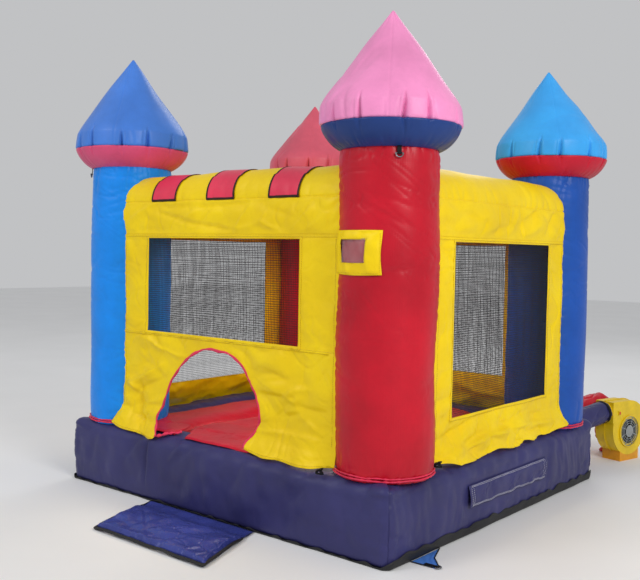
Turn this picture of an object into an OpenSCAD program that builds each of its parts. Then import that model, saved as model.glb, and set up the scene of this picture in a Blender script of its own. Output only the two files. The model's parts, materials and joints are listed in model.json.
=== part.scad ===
// Inflatable bounce house: four round corner towers with pointed caps, net windows, an arched
// doorway, a soft entry step and the blower that keeps it inflated. Millimetres. The origin is the
// middle of the base on the ground, +X right, +Y away from the doorway, +Z up.

/* [Base] */
// Overall base length along X
base_x = 3050; // [2400:10:4600]
// Overall base depth along Y
base_y = 2880; // [2400:10:4600]
// Height of the inflated base
base_h = 480; // [300:5:700]
// Width of the inflated rim that surrounds the bounce bed
rim_w = 300; // [200:10:450]
// Rounding of the base edges
base_r = 110; // [60:5:160]
// Rise of the bed pillows above the rim
bed_crown = 0; // [0:1:60]
// Height of one bed pillow from valley to crown
pillow_rise = 58; // [20:2:120]
// Width of the middle pillow; the two outer ones share the rest
mid_pillow = 1290; // [600:10:1800]
// Half width of the floor panel that carries the bed over the rim to the doorway
sill_half = 560; // [300:10:800]

/* [Towers] */
// Tower radius
col_r = 307; // [200:1:450]
// Distance of the tower axes from the middle, along X
col_x = 1240; // [900:5:2000]
// Distance of the tower axes from the middle, along Y
col_y = 1106; // [900:5:2000]
// Height of the top of the towers
col_top = 2443; // [1900:1:3200]
// Widest radius of the cap
cap_r = 430; // [320:5:600]
// Radius of the cap at its shoulder
shoulder_r = 418; // [300:5:560]
// Height of the colour seam on the cap
cap_seam = 2579; // [2000:1:3400]
// Height of the cap's shoulder
cap_shoulder = 2722; // [2100:1:3600]
// Roundness of the cap's lower part, from a plain cone to a quarter circle
collar_bulge = 0.55; // [0:0.05:1]
// Height of the cap's tip
cap_tip = 3278; // [2600:1:4600]

/* [Walls] */
// Fabric thickness used for every skin
skin = 2; // [1:0.5:4]
// Distance of the front and back walls from the middle
wall_y = 1327; // [1000:5:2000]
// Distance of the side walls from the middle
wall_x = 1463; // [1000:5:2000]
// Underside of the roof beams
beam_low = 1922; // [1500:5:2600]
// Seam height where the roof beams start to curve in
beam_seam = 2162; // [1700:5:2900]
// Radius of the roof beams
beam_r = 205; // [120:5:300]
// Outward flare of the wall aprons at their lower edge
flare = 70; // [0:5:90]
// Top of every window
win_top = 1897; // [1500:5:2500]
// Bottom of the front window
front_low = 1217; // [900:5:1600]
// Bottom of the right and back windows
side_low = 777; // [560:5:1500]
// Bottom of the left window
left_low = 660; // [560:5:1500]
// Height of the seam between the front wall and its apron
apron_top = 1195; // [900:5:1500]

/* [Doorway] */
// Radius of the arched doorway
arch_r = 455; // [300:5:600]
// Sideways offset of the doorway from the middle
arch_x = -75; // [-300:5:300]
// Height of the centre of the doorway's arch
arch_z = 672; // [600:2:900]
// Width of the doorway's edge binding
binding_w = 12; // [6:1:30]

/* [Awning] */
// Width of an awning stripe
stripe_w = 262; // [100:2:400]
// Spacing of the awning stripes
stripe_pitch = 578; // [300:2:900]

/* [Entry step] */
// Width of the step
step_w = 1030; // [600:10:1600]
// Length of the step from the base to its front edge
step_l = 665; // [400:5:1000]
// Length of the thin hinge strip of the step
step_strip = 195; // [150:5:300]
// Thickness of the step's pad
step_t = 46; // [20:1:80]
// Sideways lean of the step over its length
step_lean = 235; // [-300:5:300]

/* [Blower] */
// Blower position along X
fan_x = 1412; // [1000:2:2000]
// Blower position along Y
fan_y = 2330; // [2000:5:3200]
// Blower turn about the vertical
fan_yaw = -14; // [-45:1:45]
// Height of the impeller's axis
fan_z = 262; // [200:1:340]
// Half width of the blower housing
fan_half = 92; // [70:1:140]
// Height of the outlet's centre
duct_z = 447; // [350:1:520]
// Radius of the round inlet in the housing's face
inlet_r = 127; // [110:1:150]
// Number of impeller blades
blades = 24; // [12:1:40]

/* [Rings] */
// Bar radius of the rings
ring_rod = 4; // [2:0.5:8]
// Bend radius of the rings
ring_r = 22; // [20:1:50]

/* [Hidden] */
$fn = 96;
eps = 0.3;
hx = base_x / 2;
hy = base_y / 2;
bx = hx - 4;
by = hy - 4;
ix = hx - rim_w;
iy = hy - rim_w;
bed_top = base_h + bed_crown;
valleys = [-ix, -mid_pillow / 2, mid_pillow / 2, ix];
face_x = bx + 0.2;
red = [0.72, 0.10, 0.18];
navy = [0.17, 0.17, 0.38];
yellow = [0.96, 0.82, 0.05];
black = [0.05, 0.05, 0.06];
steel = [0.72, 0.73, 0.75];

// ---------- helpers ----------
module slab(x0, x1, y0, y1, z0, z1) {
    translate([x0, y0, z0])
        cube([x1 - x0, y1 - y0, z1 - z0]);
}

module along_x(x0, x1) {
    translate([x0, 0, 0])
        rotate([90, 0, 90])
            linear_extrude(x1 - x0)
                children();
}

module along_y(y0, y1) {
    translate([0, y1, 0])
        rotate([90, 0, 0])
            linear_extrude(y1 - y0)
                children();
}

module at_corner(sx, sy) {
    translate([sx * col_x, sy * col_y, 0])
        children();
}

module all_towers(r) {
    for (sx = [-1, 1])
        for (sy = [-1, 1])
            at_corner(sx, sy)
                translate([0, 0, -10])
                    cylinder(r = r, h = cap_tip);
}

module soft_block(ax, ay, z0, z1, r) {
    translate([0, 0, z0])
        linear_extrude(z1 - r - z0) {
            square([2 * ax, 2 * (ay - r)], center = true);
            square([2 * (ax - r), 2 * ay], center = true);
            for (sx = [-1, 1])
                for (sy = [-1, 1])
                    translate([sx * (ax - r), sy * (ay - r)])
                        circle(r);
        }
    slab(-ax + r, ax - r, -ay + r, ay - r, z0, z1);
    for (s = [-1, 1]) {
        translate([-ax + r, s * (ay - r), z1 - r])
            rotate([0, 90, 0])
                cylinder(r = r, h = 2 * (ax - r));
        translate([s * (ax - r), ay - r, z1 - r])
            rotate([90, 0, 0])
                cylinder(r = r, h = 2 * (ay - r));
        for (t = [-1, 1])
            translate([s * (ax - r), t * (ay - r), z1 - r])
                sphere(r);
    }
}

// ---------- base ----------
// One side of the base rim, drawn on the +X side and mitred at both corners.
module rim_side(ax, ay) {
    far = 300;
    intersection() {
        difference() {
            soft_block(ax - 4, ay - 4, 4, base_h, base_r);
            soft_block(ax - 4 - skin, ay - 4 - skin, -60, base_h - skin, base_r - skin);
            slab(-ax + rim_w, ax - rim_w, -ay + rim_w, ay - rim_w, -5, base_h + 5);
        }
        translate([0, 0, -20])
            linear_extrude(base_h + 60)
                polygon([[ax - rim_w, rim_w - ay], [ax + far, -ay - far], [ax + far, ay + far],
                    [ax - rim_w, ay - rim_w]]);
    }
}

module base_front() {
    color(navy)
        rotate([0, 0, -90])
            rim_side(hy, hx);
}

module base_back() {
    color(navy)
        rotate([0, 0, 90])
            rim_side(hy, hx);
}

module base_right() {
    color(navy)
        rim_side(hx, hy);
}

module base_left() {
    color(navy)
        rotate([0, 0, 180])
            rim_side(hx, hy);
}

module ground_sheet() {
    color(black) {
        slab(-hx, hx, -hy, hy, 0, 3.5);
        difference() {
            slab(-hx, hx, -hy, hy, 0, 30);
            slab(-hx + 3, hx - 3, -hy + 3, hy - 3, -1, 31);
        }
    }
}

function crown_r(w) = (pow(w / 2, 2) + pow(pillow_rise, 2)) / (2 * pillow_rise);

module pillow_outline() {
    for (i = [0 : len(valleys) - 2]) {
        w = valleys[i + 1] - valleys[i];
        intersection() {
            translate([valleys[i] + w / 2, bed_top - crown_r(w)])
                circle(crown_r(w));
            translate([valleys[i] - 0.01, 4])
                square([w + 0.02, base_h + 100]);
        }
    }
}

module bed_skin() {
    difference() {
        intersection() {
            along_y(-iy + 2.5, iy - 2.5)
                pillow_outline();
            slab(-ix + 2.5, ix - 2.5, -iy, iy, 0, base_h + 100);
        }
        intersection() {
            translate([0, 0, -skin])
                along_y(-iy - 10, iy + 10)
                    pillow_outline();
            slab(-ix + 2.5 + skin, ix - 2.5 - skin, -iy - 20, iy + 20, -50, base_h + 100);
        }
    }
}

module bounce_bed() {
    sill_front = by - base_r + 15;
    color([0.78, 0.12, 0.22]) {
        bed_skin();
        slab(-sill_half, sill_half, -sill_front, -iy, base_h + eps, base_h + eps + skin);
    }
}

module base_baffles() {
    web_top = 370;
    color([0.25, 0.25, 0.3]) {
        for (i = [1 : len(valleys) - 2])
            translate([valleys[i] - skin / 2, -iy + 160, 4])
                cube([skin, 2 * iy - 320, web_top]);
        for (s = [-1, 1]) {
            translate([s * (ix + 1) - skin / 2, -iy + 120, 4])
                cube([skin, 2 * iy - 240, web_top + 60]);
            translate([-ix + 120, s * (iy + 1) - skin / 2, 4])
                cube([2 * ix - 240, skin, web_top + 60]);
        }
    }
}

// ---------- towers ----------
module tower_tube(sx, sy) {
    at_corner(sx, sy)
        difference() {
            translate([0, 0, base_h + eps])
                cylinder(r = col_r, h = col_top - base_h - 2 * eps);
            translate([0, 0, base_h - 1])
                cylinder(r = col_r - skin, h = col_top);
        }
}

module tower_front_right() {
    color([0.72, 0.12, 0.20])
        tower_tube(1, -1);
}

module tower_front_left() {
    color([0.10, 0.48, 0.85])
        tower_tube(-1, -1);
}

module tower_back_right() {
    color([0.12, 0.28, 0.62])
        tower_tube(1, 1);
}

module tower_back_left() {
    color([0.75, 0.12, 0.28])
        tower_tube(-1, 1);
}

// Lower part of a cap: a cone that bulges a little, out of the tower up to the colour seam.
function bulged(i, n, curve) = (1 - collar_bulge) * i / n + collar_bulge * curve;

function collar_out(i, n, t) = [
    col_r - t + (cap_r - col_r) * bulged(i, n, sin(90 * i / n)),
    col_top + (cap_seam - col_top) * bulged(i, n, 1 - cos(90 * i / n))
];

module collar_skin() {
    n = 8;
    rotate_extrude()
        polygon(concat([for (i = [0 : n]) collar_out(i, n, 0)],
            [for (i = [n : -1 : 0]) collar_out(i, n, skin)]));
}

// Upper part of a cap: a gathered shoulder, then a straight cone to the tip.
function spire_out(i, n, t) = [
    shoulder_r + (cap_r - shoulder_r) * cos(90 * i / n) - t,
    cap_seam + eps + (cap_shoulder - cap_seam) * i / n
];

module spire_skin() {
    n = 4;
    rotate_extrude()
        polygon(concat([for (i = [0 : n]) spire_out(i, n, 0)],
            [[0, cap_tip], [0, cap_tip - 2 * skin]],
            [for (i = [n : -1 : 0]) spire_out(i, n, skin)]));
}

module collar(sx, sy, c) {
    color(c)
        at_corner(sx, sy)
            collar_skin();
}

module spire(sx, sy, c) {
    color(c)
        at_corner(sx, sy)
            spire_skin();
}

module collar_front_right() {
    collar(1, -1, [0.13, 0.24, 0.5]);
}

module collar_front_left() {
    collar(-1, -1, [0.8, 0.3, 0.42]);
}

module collar_back_right() {
    collar(1, 1, [0.65, 0.12, 0.18]);
}

module collar_back_left() {
    collar(-1, 1, [0.15, 0.3, 0.6]);
}

module spire_front_right() {
    spire(1, -1, [0.95, 0.5, 0.72]);
}

module spire_front_left() {
    spire(-1, -1, [0.22, 0.42, 0.75]);
}

module spire_back_right() {
    spire(1, 1, [0.22, 0.6, 0.95]);
}

module spire_back_left() {
    spire(-1, 1, [0.85, 0.3, 0.38]);
}

module tower_piping() {
    color([0.8, 0.15, 0.25])
        for (sx = [-1, 1])
            for (sy = [-1, 1])
                at_corner(sx, sy)
                    rotate([0, 0, atan2(sy, sx) - 86])
                        for (z = [6, 19])
                            translate([0, 0, base_h + z])
                                rotate_extrude(angle = 172)
                                    translate([col_r + 5.4, 0])
                                        circle(5);
}

// ---------- roof beams ----------
module beam_outline(inset) {
    r = beam_r - inset;
    translate([beam_r, beam_seam])
        circle(r);
    translate([beam_r, beam_low + beam_r])
        circle(r);
    translate([inset, beam_low + inset])
        square([beam_r - inset, beam_seam - beam_low - inset]);
    translate([inset, beam_low + beam_r])
        square([2 * r, beam_seam - beam_low - beam_r]);
}

module beam_run(plane, half) {
    along_x(-half, half)
        translate([-plane, 0])
            difference() {
                beam_outline(0);
                beam_outline(skin);
            }
}

module cut_to_towers() {
    difference() {
        children();
        all_towers(col_r + 0.02);
    }
}

module beam_front() {
    color(yellow)
        cut_to_towers()
            beam_run(wall_y, col_x - 130);
}

module beam_back() {
    color(yellow)
        cut_to_towers()
            mirror([0, 1, 0])
                beam_run(wall_y, col_x - 130);
}

module beam_right() {
    color(yellow)
        cut_to_towers()
            rotate([0, 0, 90])
                beam_run(wall_x, col_y - 130);
}

module beam_left() {
    color(yellow)
        cut_to_towers()
            rotate([0, 0, -90])
                beam_run(wall_x, col_y - 130);
}

module stripe_band(x0, x1, t) {
    translate([x0, -wall_y + beam_r, beam_seam])
        rotate([90, 0, 90])
            linear_extrude(x1 - x0)
                intersection() {
                    difference() {
                        circle(beam_r + 0.2 + t);
                        circle(beam_r + 0.2);
                    }
                    polygon([[-600, 3], [-600, 600], [60, 600], [0, 3]]);
                }
}

module awning_stripes() {
    color([0.9, 0.15, 0.25])
        for (i = [-1 : 1])
            stripe_band(-12 + i * stripe_pitch - stripe_w / 2 + 12.3,
                -12 + i * stripe_pitch + stripe_w / 2 - 12.3, 1.5);
}

module stripe_edging() {
    color([0.12, 0.07, 0.06])
        for (i = [-1 : 1])
            for (s = [-1, 1])
                stripe_band(-12 + i * stripe_pitch + s * (stripe_w / 2 - 6) - 6,
                    -12 + i * stripe_pitch + s * (stripe_w / 2 - 6) + 6, 2);
}

module roof_sheet() {
    z = beam_low + beam_r + 10;
    color([0.9, 0.78, 0.1])
        cut_to_towers()
            slab(-wall_x + 2 * beam_r + 0.05, wall_x - 2 * beam_r - 0.05,
                -wall_y + 2 * beam_r + 0.05, wall_y - 2 * beam_r - 0.05, z, z + skin);
}

// ---------- walls ----------
// Wall section in the plane across the wall: x is the distance out of the middle.
module wall_outline(out, in, z0, z1) {
    intersection() {
        polygon([[-out, 3000], [-out, base_h + 170], [-out - flare * 0.45, base_h + 90],
            [-out - flare, base_h + 8], [-in - flare, base_h + 8],
            [-in - flare * 0.45, base_h + 90], [-in, base_h + 170], [-in, 3000]]);
        translate([-3000, z0])
            square([3000, z1 - z0]);
    }
}

module wall_panel(plane, half, z0, z1) {
    difference() {
        along_x(-half, half)
            wall_outline(plane, plane - skin, z0, z1);
        all_towers_swapped(plane);
    }
}

// Towers as seen by a panel that is drawn facing the front.
module all_towers_swapped(plane) {
    tx = plane == wall_y ? col_x : col_y;
    ty = plane == wall_y ? col_y : col_x;
    for (sx = [-1, 1])
        translate([sx * tx, -ty, -10])
            cylinder(r = col_r + 0.02, h = cap_tip);
}

module front_wall() {
    color(yellow)
        difference() {
            wall_panel(wall_y, col_x - 200, apron_top + 0.05, beam_low - 0.05);
            slab(-756, 717, -wall_y - 9, -wall_y + 9, front_low, win_top);
        }
}

module right_wall() {
    color(yellow)
        rotate([0, 0, 90])
            difference() {
                wall_panel(wall_x, col_y - 200, base_h, beam_low - 0.05);
                slab(-690, 640, -wall_x - 9, -wall_x + 9, side_low, win_top);
            }
}

module back_wall() {
    color(yellow)
        rotate([0, 0, 180])
            difference() {
                wall_panel(wall_y, col_x - 200, base_h, beam_low - 0.05);
                slab(-745, 745, -wall_y - 9, -wall_y + 9, side_low, win_top);
            }
}

module left_wall() {
    color(yellow)
        rotate([0, 0, -90])
            difference() {
                wall_panel(wall_x, col_y - 200, base_h, beam_low - 0.05);
                slab(-670, 670, -wall_x - 9, -wall_x + 9, left_low, win_top);
            }
}

module net(x0, x1, plane, z0) {
    slab(x0 + 0.05, x1 - 0.05, -plane + 0.4, -plane + 1.6, z0 + 0.05, win_top - 0.05);
}

module window_nets() {
    color([0.2, 0.2, 0.22]) {
        net(-756, 717, wall_y, front_low);
        rotate([0, 0, 90])
            net(-690, 640, wall_x, side_low);
        rotate([0, 0, 180])
            net(-745, 745, wall_y, side_low);
        rotate([0, 0, -90])
            net(-670, 670, wall_x, left_low);
    }
}

module arch_outline(shrink) {
    r = arch_r - shrink;
    translate([arch_x, arch_z])
        circle(r);
    polygon([[arch_x - r, arch_z], [arch_x - r - 15, base_h - 60],
        [arch_x + r - 55, base_h - 60], [arch_x + r, arch_z]]);
}

module front_apron() {
    color(yellow)
        difference() {
            wall_panel(wall_y, col_x - 200, base_h, apron_top - 0.05);
            along_y(-wall_y - 200, -wall_y + 200)
                arch_outline(0);
        }
}

module doorway_binding() {
    color([0.85, 0.2, 0.35])
        difference() {
            intersection() {
                along_x(-col_x, col_x)
                    wall_outline(wall_y + 3, wall_y - skin - 3, base_h, apron_top);
                along_y(-wall_y - 200, -wall_y + 200)
                    arch_outline(0.05);
            }
            along_y(-wall_y - 201, -wall_y + 201)
                arch_outline(binding_w);
        }
}

// ---------- notice pocket ----------
module on_front_right(a0, a1, r0, r1, z0, z1) {
    at_corner(1, -1)
        translate([0, 0, z0])
            rotate([0, 0, -90 + a0])
                rotate_extrude(angle = a1 - a0)
                    translate([r0, 0])
                        square([r1 - r0, z1 - z0]);
}

module notice_pocket() {
    color(yellow)
        difference() {
            on_front_right(-41, 28.5, col_r + 0.1, col_r + 3.1, 1690, 1950);
            on_front_right(-24.7, 10.4, col_r - 5, col_r + 9, 1762, 1897);
        }
}

module pocket_window() {
    color([0.75, 0.78, 0.8, 0.5])
        on_front_right(-24.6, 10.3, col_r + 0.1, col_r + 1.4, 1762.3, 1896.7);
}

// ---------- entry step ----------
module step_plan(y0, y1, side) {
    k = step_lean / step_l;
    x0 = -556 + side;
    x1 = -556 + step_w - side;
    polygon([[x0 + k * y0, -y0], [x1 + k * y0, -y0], [x1 + k * y1, -y1], [x0 + k * y1, -y1]]);
}

module entry_step() {
    color([0.18, 0.18, 0.46])
        translate([0, -hy - 5, 1]) {
            linear_extrude(3)
                step_plan(0, step_strip + 1, 0);
            difference() {
                linear_extrude(step_t)
                    step_plan(step_strip, step_l, 0);
                translate([0, 0, skin])
                    linear_extrude(step_t - 2 * skin)
                        step_plan(step_strip + skin, step_l - skin, skin + 0.5);
            }
        }
}

// ---------- deflation zip on the right side ----------
module zip_tape() {
    color([0.1, 0.1, 0.2]) {
        slab(bx, bx + 1.6, -545, 545, 232, 268);
        slab(bx + 1.6, bx + 3.4, -540, 540, 246, 254);
    }
}

module zip_slider() {
    color(steel) {
        slab(bx + 4, bx + 9, -532, -500, 239, 261);
        slab(bx + 9, bx + 11, -523, -509, 212, 252);
    }
}

module zip_flap() {
    color([0.2, 0.2, 0.45]) {
        slab(bx + 14, bx + 16.5, -560, 560, 188, 328);
        slab(bx + 2, bx + 14.5, -560, 560, 325.5, 328);
    }
}

// ---------- blower, tube and sleeve ----------
module fan_frame() {
    translate([fan_x, fan_y, 0])
        rotate([0, 0, fan_yaw])
            children();
}

module behind_base() {
    difference() {
        children();
        slab(-4000, 4000, -4000, by + 0.05, -50, 2000);
    }
}

tube_y0 = -1180;
tube_y1 = -256;
tube_z0 = 312;
tube_tilt = atan2(duct_z - tube_z0, tube_y1 - tube_y0);
tube_len = norm([duct_z - tube_z0, tube_y1 - tube_y0]);

module tube_axis() {
    translate([0, tube_y0, tube_z0])
        rotate([-90 + tube_tilt, 0, 0])
            children();
}

module air_tube() {
    color(navy)
        behind_base()
            fan_frame()
                tube_axis()
                    difference() {
                        cylinder(r1 = 118, r2 = 94, h = tube_len);
                        translate([0, 0, -1])
                            cylinder(r1 = 118 - skin, r2 = 94 - skin, h = tube_len + 2);
                    }
}

module tube_strap() {
    color(black)
        fan_frame()
            tube_axis()
                translate([0, 0, tube_len - 38]) {
                    difference() {
                        cylinder(r = 98.5, h = 26);
                        translate([0, 0, -1])
                            cylinder(r = 95.3, h = 28);
                    }
                    translate([-24, -107, 3])
                        cube([48, 9.5, 20]);
                }
}

sleeve_x = -225;
sleeve_y0 = -1080;
sleeve_z0 = 325;
sleeve_y1 = -90;
sleeve_z1 = 466;
sleeve_tilt = atan2(sleeve_z1 - sleeve_z0, sleeve_y1 - sleeve_y0);
sleeve_bend = 175;

module sleeve_ring() {
    difference() {
        circle(104);
        circle(104 - skin);
    }
}

module deflation_sleeve() {
    end_y = sleeve_y1 + sleeve_bend * (1 + sin(sleeve_tilt));
    bend_z = sleeve_z1 - sleeve_bend * cos(sleeve_tilt);
    color([0.85, 0.15, 0.22]) {
        behind_base()
            fan_frame()
                translate([sleeve_x, sleeve_y0, sleeve_z0])
                    rotate([-90 + sleeve_tilt, 0, 0])
                        linear_extrude(norm([sleeve_z1 - sleeve_z0, sleeve_y1 - sleeve_y0])
                            - 0.3)
                            sleeve_ring();
        fan_frame() {
            translate([sleeve_x, sleeve_y1 + sleeve_bend * sin(sleeve_tilt), bend_z])
                rotate([90, 0, 90])
                    rotate_extrude(angle = 90 + sleeve_tilt)
                        translate([sleeve_bend, 0])
                            sleeve_ring();
            translate([sleeve_x, end_y, 0])
                rotate_extrude()
                    polygon([[62, 0], [26, 40], [26, 74], [104, 130], [104, bend_z - 0.3],
                        [104 - skin, bend_z - 0.3], [104 - skin, 130 + skin / 2], [24, 76],
                        [0, 76], [0, 0]]);
        }
    }
}

module scroll_outline(inset) {
    translate([0, fan_z])
        circle(206 - inset);
    translate([10, fan_z + 32])
        circle(243 - inset);
    translate([-236, duct_z - 94 + inset])
        square([246, 184 - 2 * inset]);
}

module switch_at() {
    translate([fan_half, -150, duct_z - 10])
        children();
}

module blower_housing() {
    color([0.85, 0.7, 0.08])
        fan_frame()
            difference() {
                union() {
                    along_x(-fan_half, fan_half)
                        scroll_outline(0);
                    along_x(-4, 4)
                        difference() {
                            scroll_outline(-9);
                            translate([-300, 0])
                                square([66, 900]);
                        }
                    translate([0, -296, duct_z])
                        rotate([-90, 0, 0])
                            cylinder(r = 84, h = 62);
                    translate([0, 0, fan_z])
                        rotate([0, 90, 0])
                            cylinder(r = inlet_r + 16, h = fan_half + 12);
                    translate([-fan_half - 16, 60, 190])
                        rotate([0, 90, 0])
                            cylinder(r = 11, h = 18);
                    switch_at()
                        slab(-1, 8, -13, 13, -19, 19);
                }
                along_x(-fan_half + 4, fan_half - 4)
                    intersection() {
                        scroll_outline(4);
                        translate([-232, 0])
                            square([600, 900]);
                    }
                translate([0, -297, duct_z])
                    rotate([-90, 0, 0])
                        cylinder(r = 80, h = 90);
                translate([0, 0, fan_z])
                    rotate([0, 90, 0])
                        cylinder(r = inlet_r - 20, h = fan_half + 40);
                translate([fan_half, 0, fan_z])
                    rotate([0, 90, 0])
                        cylinder(r = inlet_r + 6, h = 40);
                switch_at()
                    slab(0.5, 20, -8, 8, -14, 14);
            }
}

module blower_stand() {
    color([0.9, 0.6, 0.08])
        fan_frame()
            difference() {
                slab(-fan_half, fan_half, -120, 150, 0, 100);
                slab(-fan_half + 6, fan_half - 6, -114, 144, -1, 101);
                translate([-200, 0, fan_z])
                    rotate([0, 90, 0])
                        cylinder(r = 206.1, h = 400);
                translate([-200, 10, fan_z + 32])
                    rotate([0, 90, 0])
                        cylinder(r = 243.1, h = 400);
                along_x(-5, 5)
                    scroll_outline(-10);
            }
}

module blower_motor() {
    color([0.2, 0.2, 0.22])
        fan_frame()
            translate([0, 0, fan_z])
                rotate([0, 90, 0])
                    difference() {
                        union() {
                            translate([0, 0, -fan_half + 4.05])
                                cylinder(r = 84, h = 72);
                            translate([0, 0, -fan_half + 70])
                                cylinder(r = 30, h = 14);
                        }
                        translate([0, 0, -fan_half + 40])
                            cylinder(r = 8.08, h = 90);
                    }
}

module blower_impeller() {
    color([0.1, 0.1, 0.11])
        fan_frame()
            translate([0, 0, fan_z])
                rotate([0, 90, 0]) {
                    translate([0, 0, -fan_half + 44])
                        cylinder(r = 8, h = 60);
                    translate([0, 0, -4]) {
                        cylinder(r = 152, h = 3);
                        cylinder(r = 32, h = 26);
                    }
                    translate([0, 0, 78])
                        difference() {
                            cylinder(r = 152, h = 4);
                            translate([0, 0, -1])
                                cylinder(r = 122, h = 6);
                        }
                    for (i = [0 : blades - 1])
                        rotate([0, 0, 360 * i / blades])
                            translate([136, 0, -2])
                                rotate([0, 0, 52])
                                    translate([-17, -1, 0])
                                        cube([32, 2, 82]);
                }
}

module inlet_grille() {
    color([0.55, 0.57, 0.58])
        fan_frame()
            translate([fan_half + 0.3, 0, fan_z])
                rotate([0, 90, 0]) {
                    for (r = [inlet_r + 4, inlet_r - 15, inlet_r - 34, inlet_r - 53])
                        difference() {
                            cylinder(r = r, h = 6);
                            translate([0, 0, -1])
                                cylinder(r = r - 5, h = 8);
                        }
                    cylinder(r = inlet_r - 73, h = 9);
                    for (i = [0 : 7])
                        rotate([0, 0, 45 * i + 22.5])
                            translate([inlet_r - 77, -3, 0.5])
                                cube([78, 6, 5]);
                }
}

module rocker_switch() {
    color([0.8, 0.15, 0.12])
        fan_frame()
            switch_at()
                slab(5.5, 11.5, -6.6, 6.6, -12.5, 12.5);
}

// ---------- rings ----------
// Ring hanging along -Z from a bar along Y through the origin.
module d_ring() {
    color(steel) {
        translate([0, ring_r, 0])
            rotate([90, 0, 0])
                cylinder(r = ring_rod, h = 2 * ring_r);
        rotate([0, 90, 0])
            rotate([0, 0, -90])
                rotate_extrude(angle = 180)
                    translate([ring_r, 0])
                        circle(ring_rod);
        for (s = [-1, 1])
            translate([0, s * ring_r, 0])
                sphere(ring_rod);
    }
}

// Half width of the webbing loop that carries a ring
loop_half = 14;

module sleeve_loop() {
    rotate([90, 0, 0])
        difference() {
            translate([0, 0, -loop_half])
                cylinder(r = 8, h = 2 * loop_half);
            translate([0, 0, -loop_half - 1])
                cylinder(r = ring_rod + 0.4, h = 2 * loop_half + 2);
        }
}

tether_r = col_r + 8.3;
tether_z = 2392;

module on_tower(sx, sy) {
    at_corner(sx, sy)
        rotate([0, 0, atan2(sy, sx)])
            children();
}

module tether_tabs() {
    color(black)
        for (sx = [-1, 1])
            for (sy = [-1, 1])
                on_tower(sx, sy)
                    difference() {
                        union() {
                            slab(col_r + 1, col_r + 3.5, -loop_half, loop_half, tether_z + 3, col_top - 2);
                            translate([tether_r, 0, tether_z])
                                sleeve_loop();
                        }
                        translate([tether_r, 30, tether_z])
                            rotate([90, 0, 0])
                                cylinder(r = ring_rod + 0.4, h = 60);
                    }
}

module tether_ring(sx, sy) {
    on_tower(sx, sy)
        translate([tether_r, 0, tether_z])
            d_ring();
}

module tether_ring_front_right() {
    tether_ring(1, -1);
}

module tether_ring_front_left() {
    tether_ring(-1, -1);
}

module tether_ring_back_right() {
    tether_ring(1, 1);
}

module tether_ring_back_left() {
    tether_ring(-1, 1);
}

// Anchor tab drawn on the +X side with its ring at y = 0; the tab runs back along the base.
anchor_out = 172;

module anchor_tab() {
    difference() {
        union() {
            translate([0, 0, 0.4])
                linear_extrude(3)
                    polygon([[0.5, -22], [anchor_out, -16], [anchor_out, 16], [70, 130],
                        [0.5, 300]]);
            translate([anchor_out, 0, 8])
                sleeve_loop();
        }
        translate([anchor_out, 0, 8])
            rotate([90, 0, 0])
                translate([0, 0, -60])
                    cylinder(r = ring_rod + 0.4, h = 120);
    }
}

module place_anchor(i) {
    if (i == 0)
        translate([hx, -1190, 0])
            children();
    if (i == 1)
        mirror([1, 0, 0])
            translate([hx, -1190, 0])
                children();
    if (i == 2)
        translate([1190, hy, 0])
            rotate([0, 0, 90])
                children();
    if (i == 3)
        mirror([1, 0, 0])
            translate([1190, hy, 0])
                rotate([0, 0, 90])
                    children();
}

module anchor_tabs() {
    color([0.3, 0.5, 0.8])
        for (i = [0 : 3])
            place_anchor(i)
                anchor_tab();
}

module anchor_ring(i) {
    place_anchor(i)
        translate([anchor_out, 0, 8])
            rotate([0, -90, 0])
                d_ring();
}

module anchor_ring_front_right() {
    anchor_ring(0);
}

module anchor_ring_front_left() {
    anchor_ring(1);
}

module anchor_ring_back_right() {
    anchor_ring(2);
}

module anchor_ring_back_left() {
    anchor_ring(3);
}

ground_sheet();
base_front();
base_right();
base_back();
base_left();
bounce_bed();
base_baffles();
tower_front_right();
tower_front_left();
tower_back_right();
tower_back_left();
collar_front_right();
collar_front_left();
collar_back_right();
collar_back_left();
spire_front_right();
spire_front_left();
spire_back_right();
spire_back_left();
tower_piping();
beam_front();
beam_right();
beam_back();
beam_left();
awning_stripes();
stripe_edging();
roof_sheet();
front_wall();
front_apron();
right_wall();
back_wall();
left_wall();
window_nets();
doorway_binding();
notice_pocket();
pocket_window();
entry_step();
zip_tape();
zip_slider();
zip_flap();
air_tube();
tube_strap();
deflation_sleeve();
tether_tabs();
tether_ring_front_right();
tether_ring_front_left();
tether_ring_back_right();
tether_ring_back_left();
anchor_tabs();
anchor_ring_front_right();
anchor_ring_front_left();
anchor_ring_back_right();
anchor_ring_back_left();
blower_housing();
blower_stand();
blower_motor();
blower_impeller();
inlet_grille();
rocker_switch();
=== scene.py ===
import json
import math

import bmesh
import bpy
import numpy as np
from mathutils import Matrix, Vector
from mathutils.geometry import delaunay_2d_cdt


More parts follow.
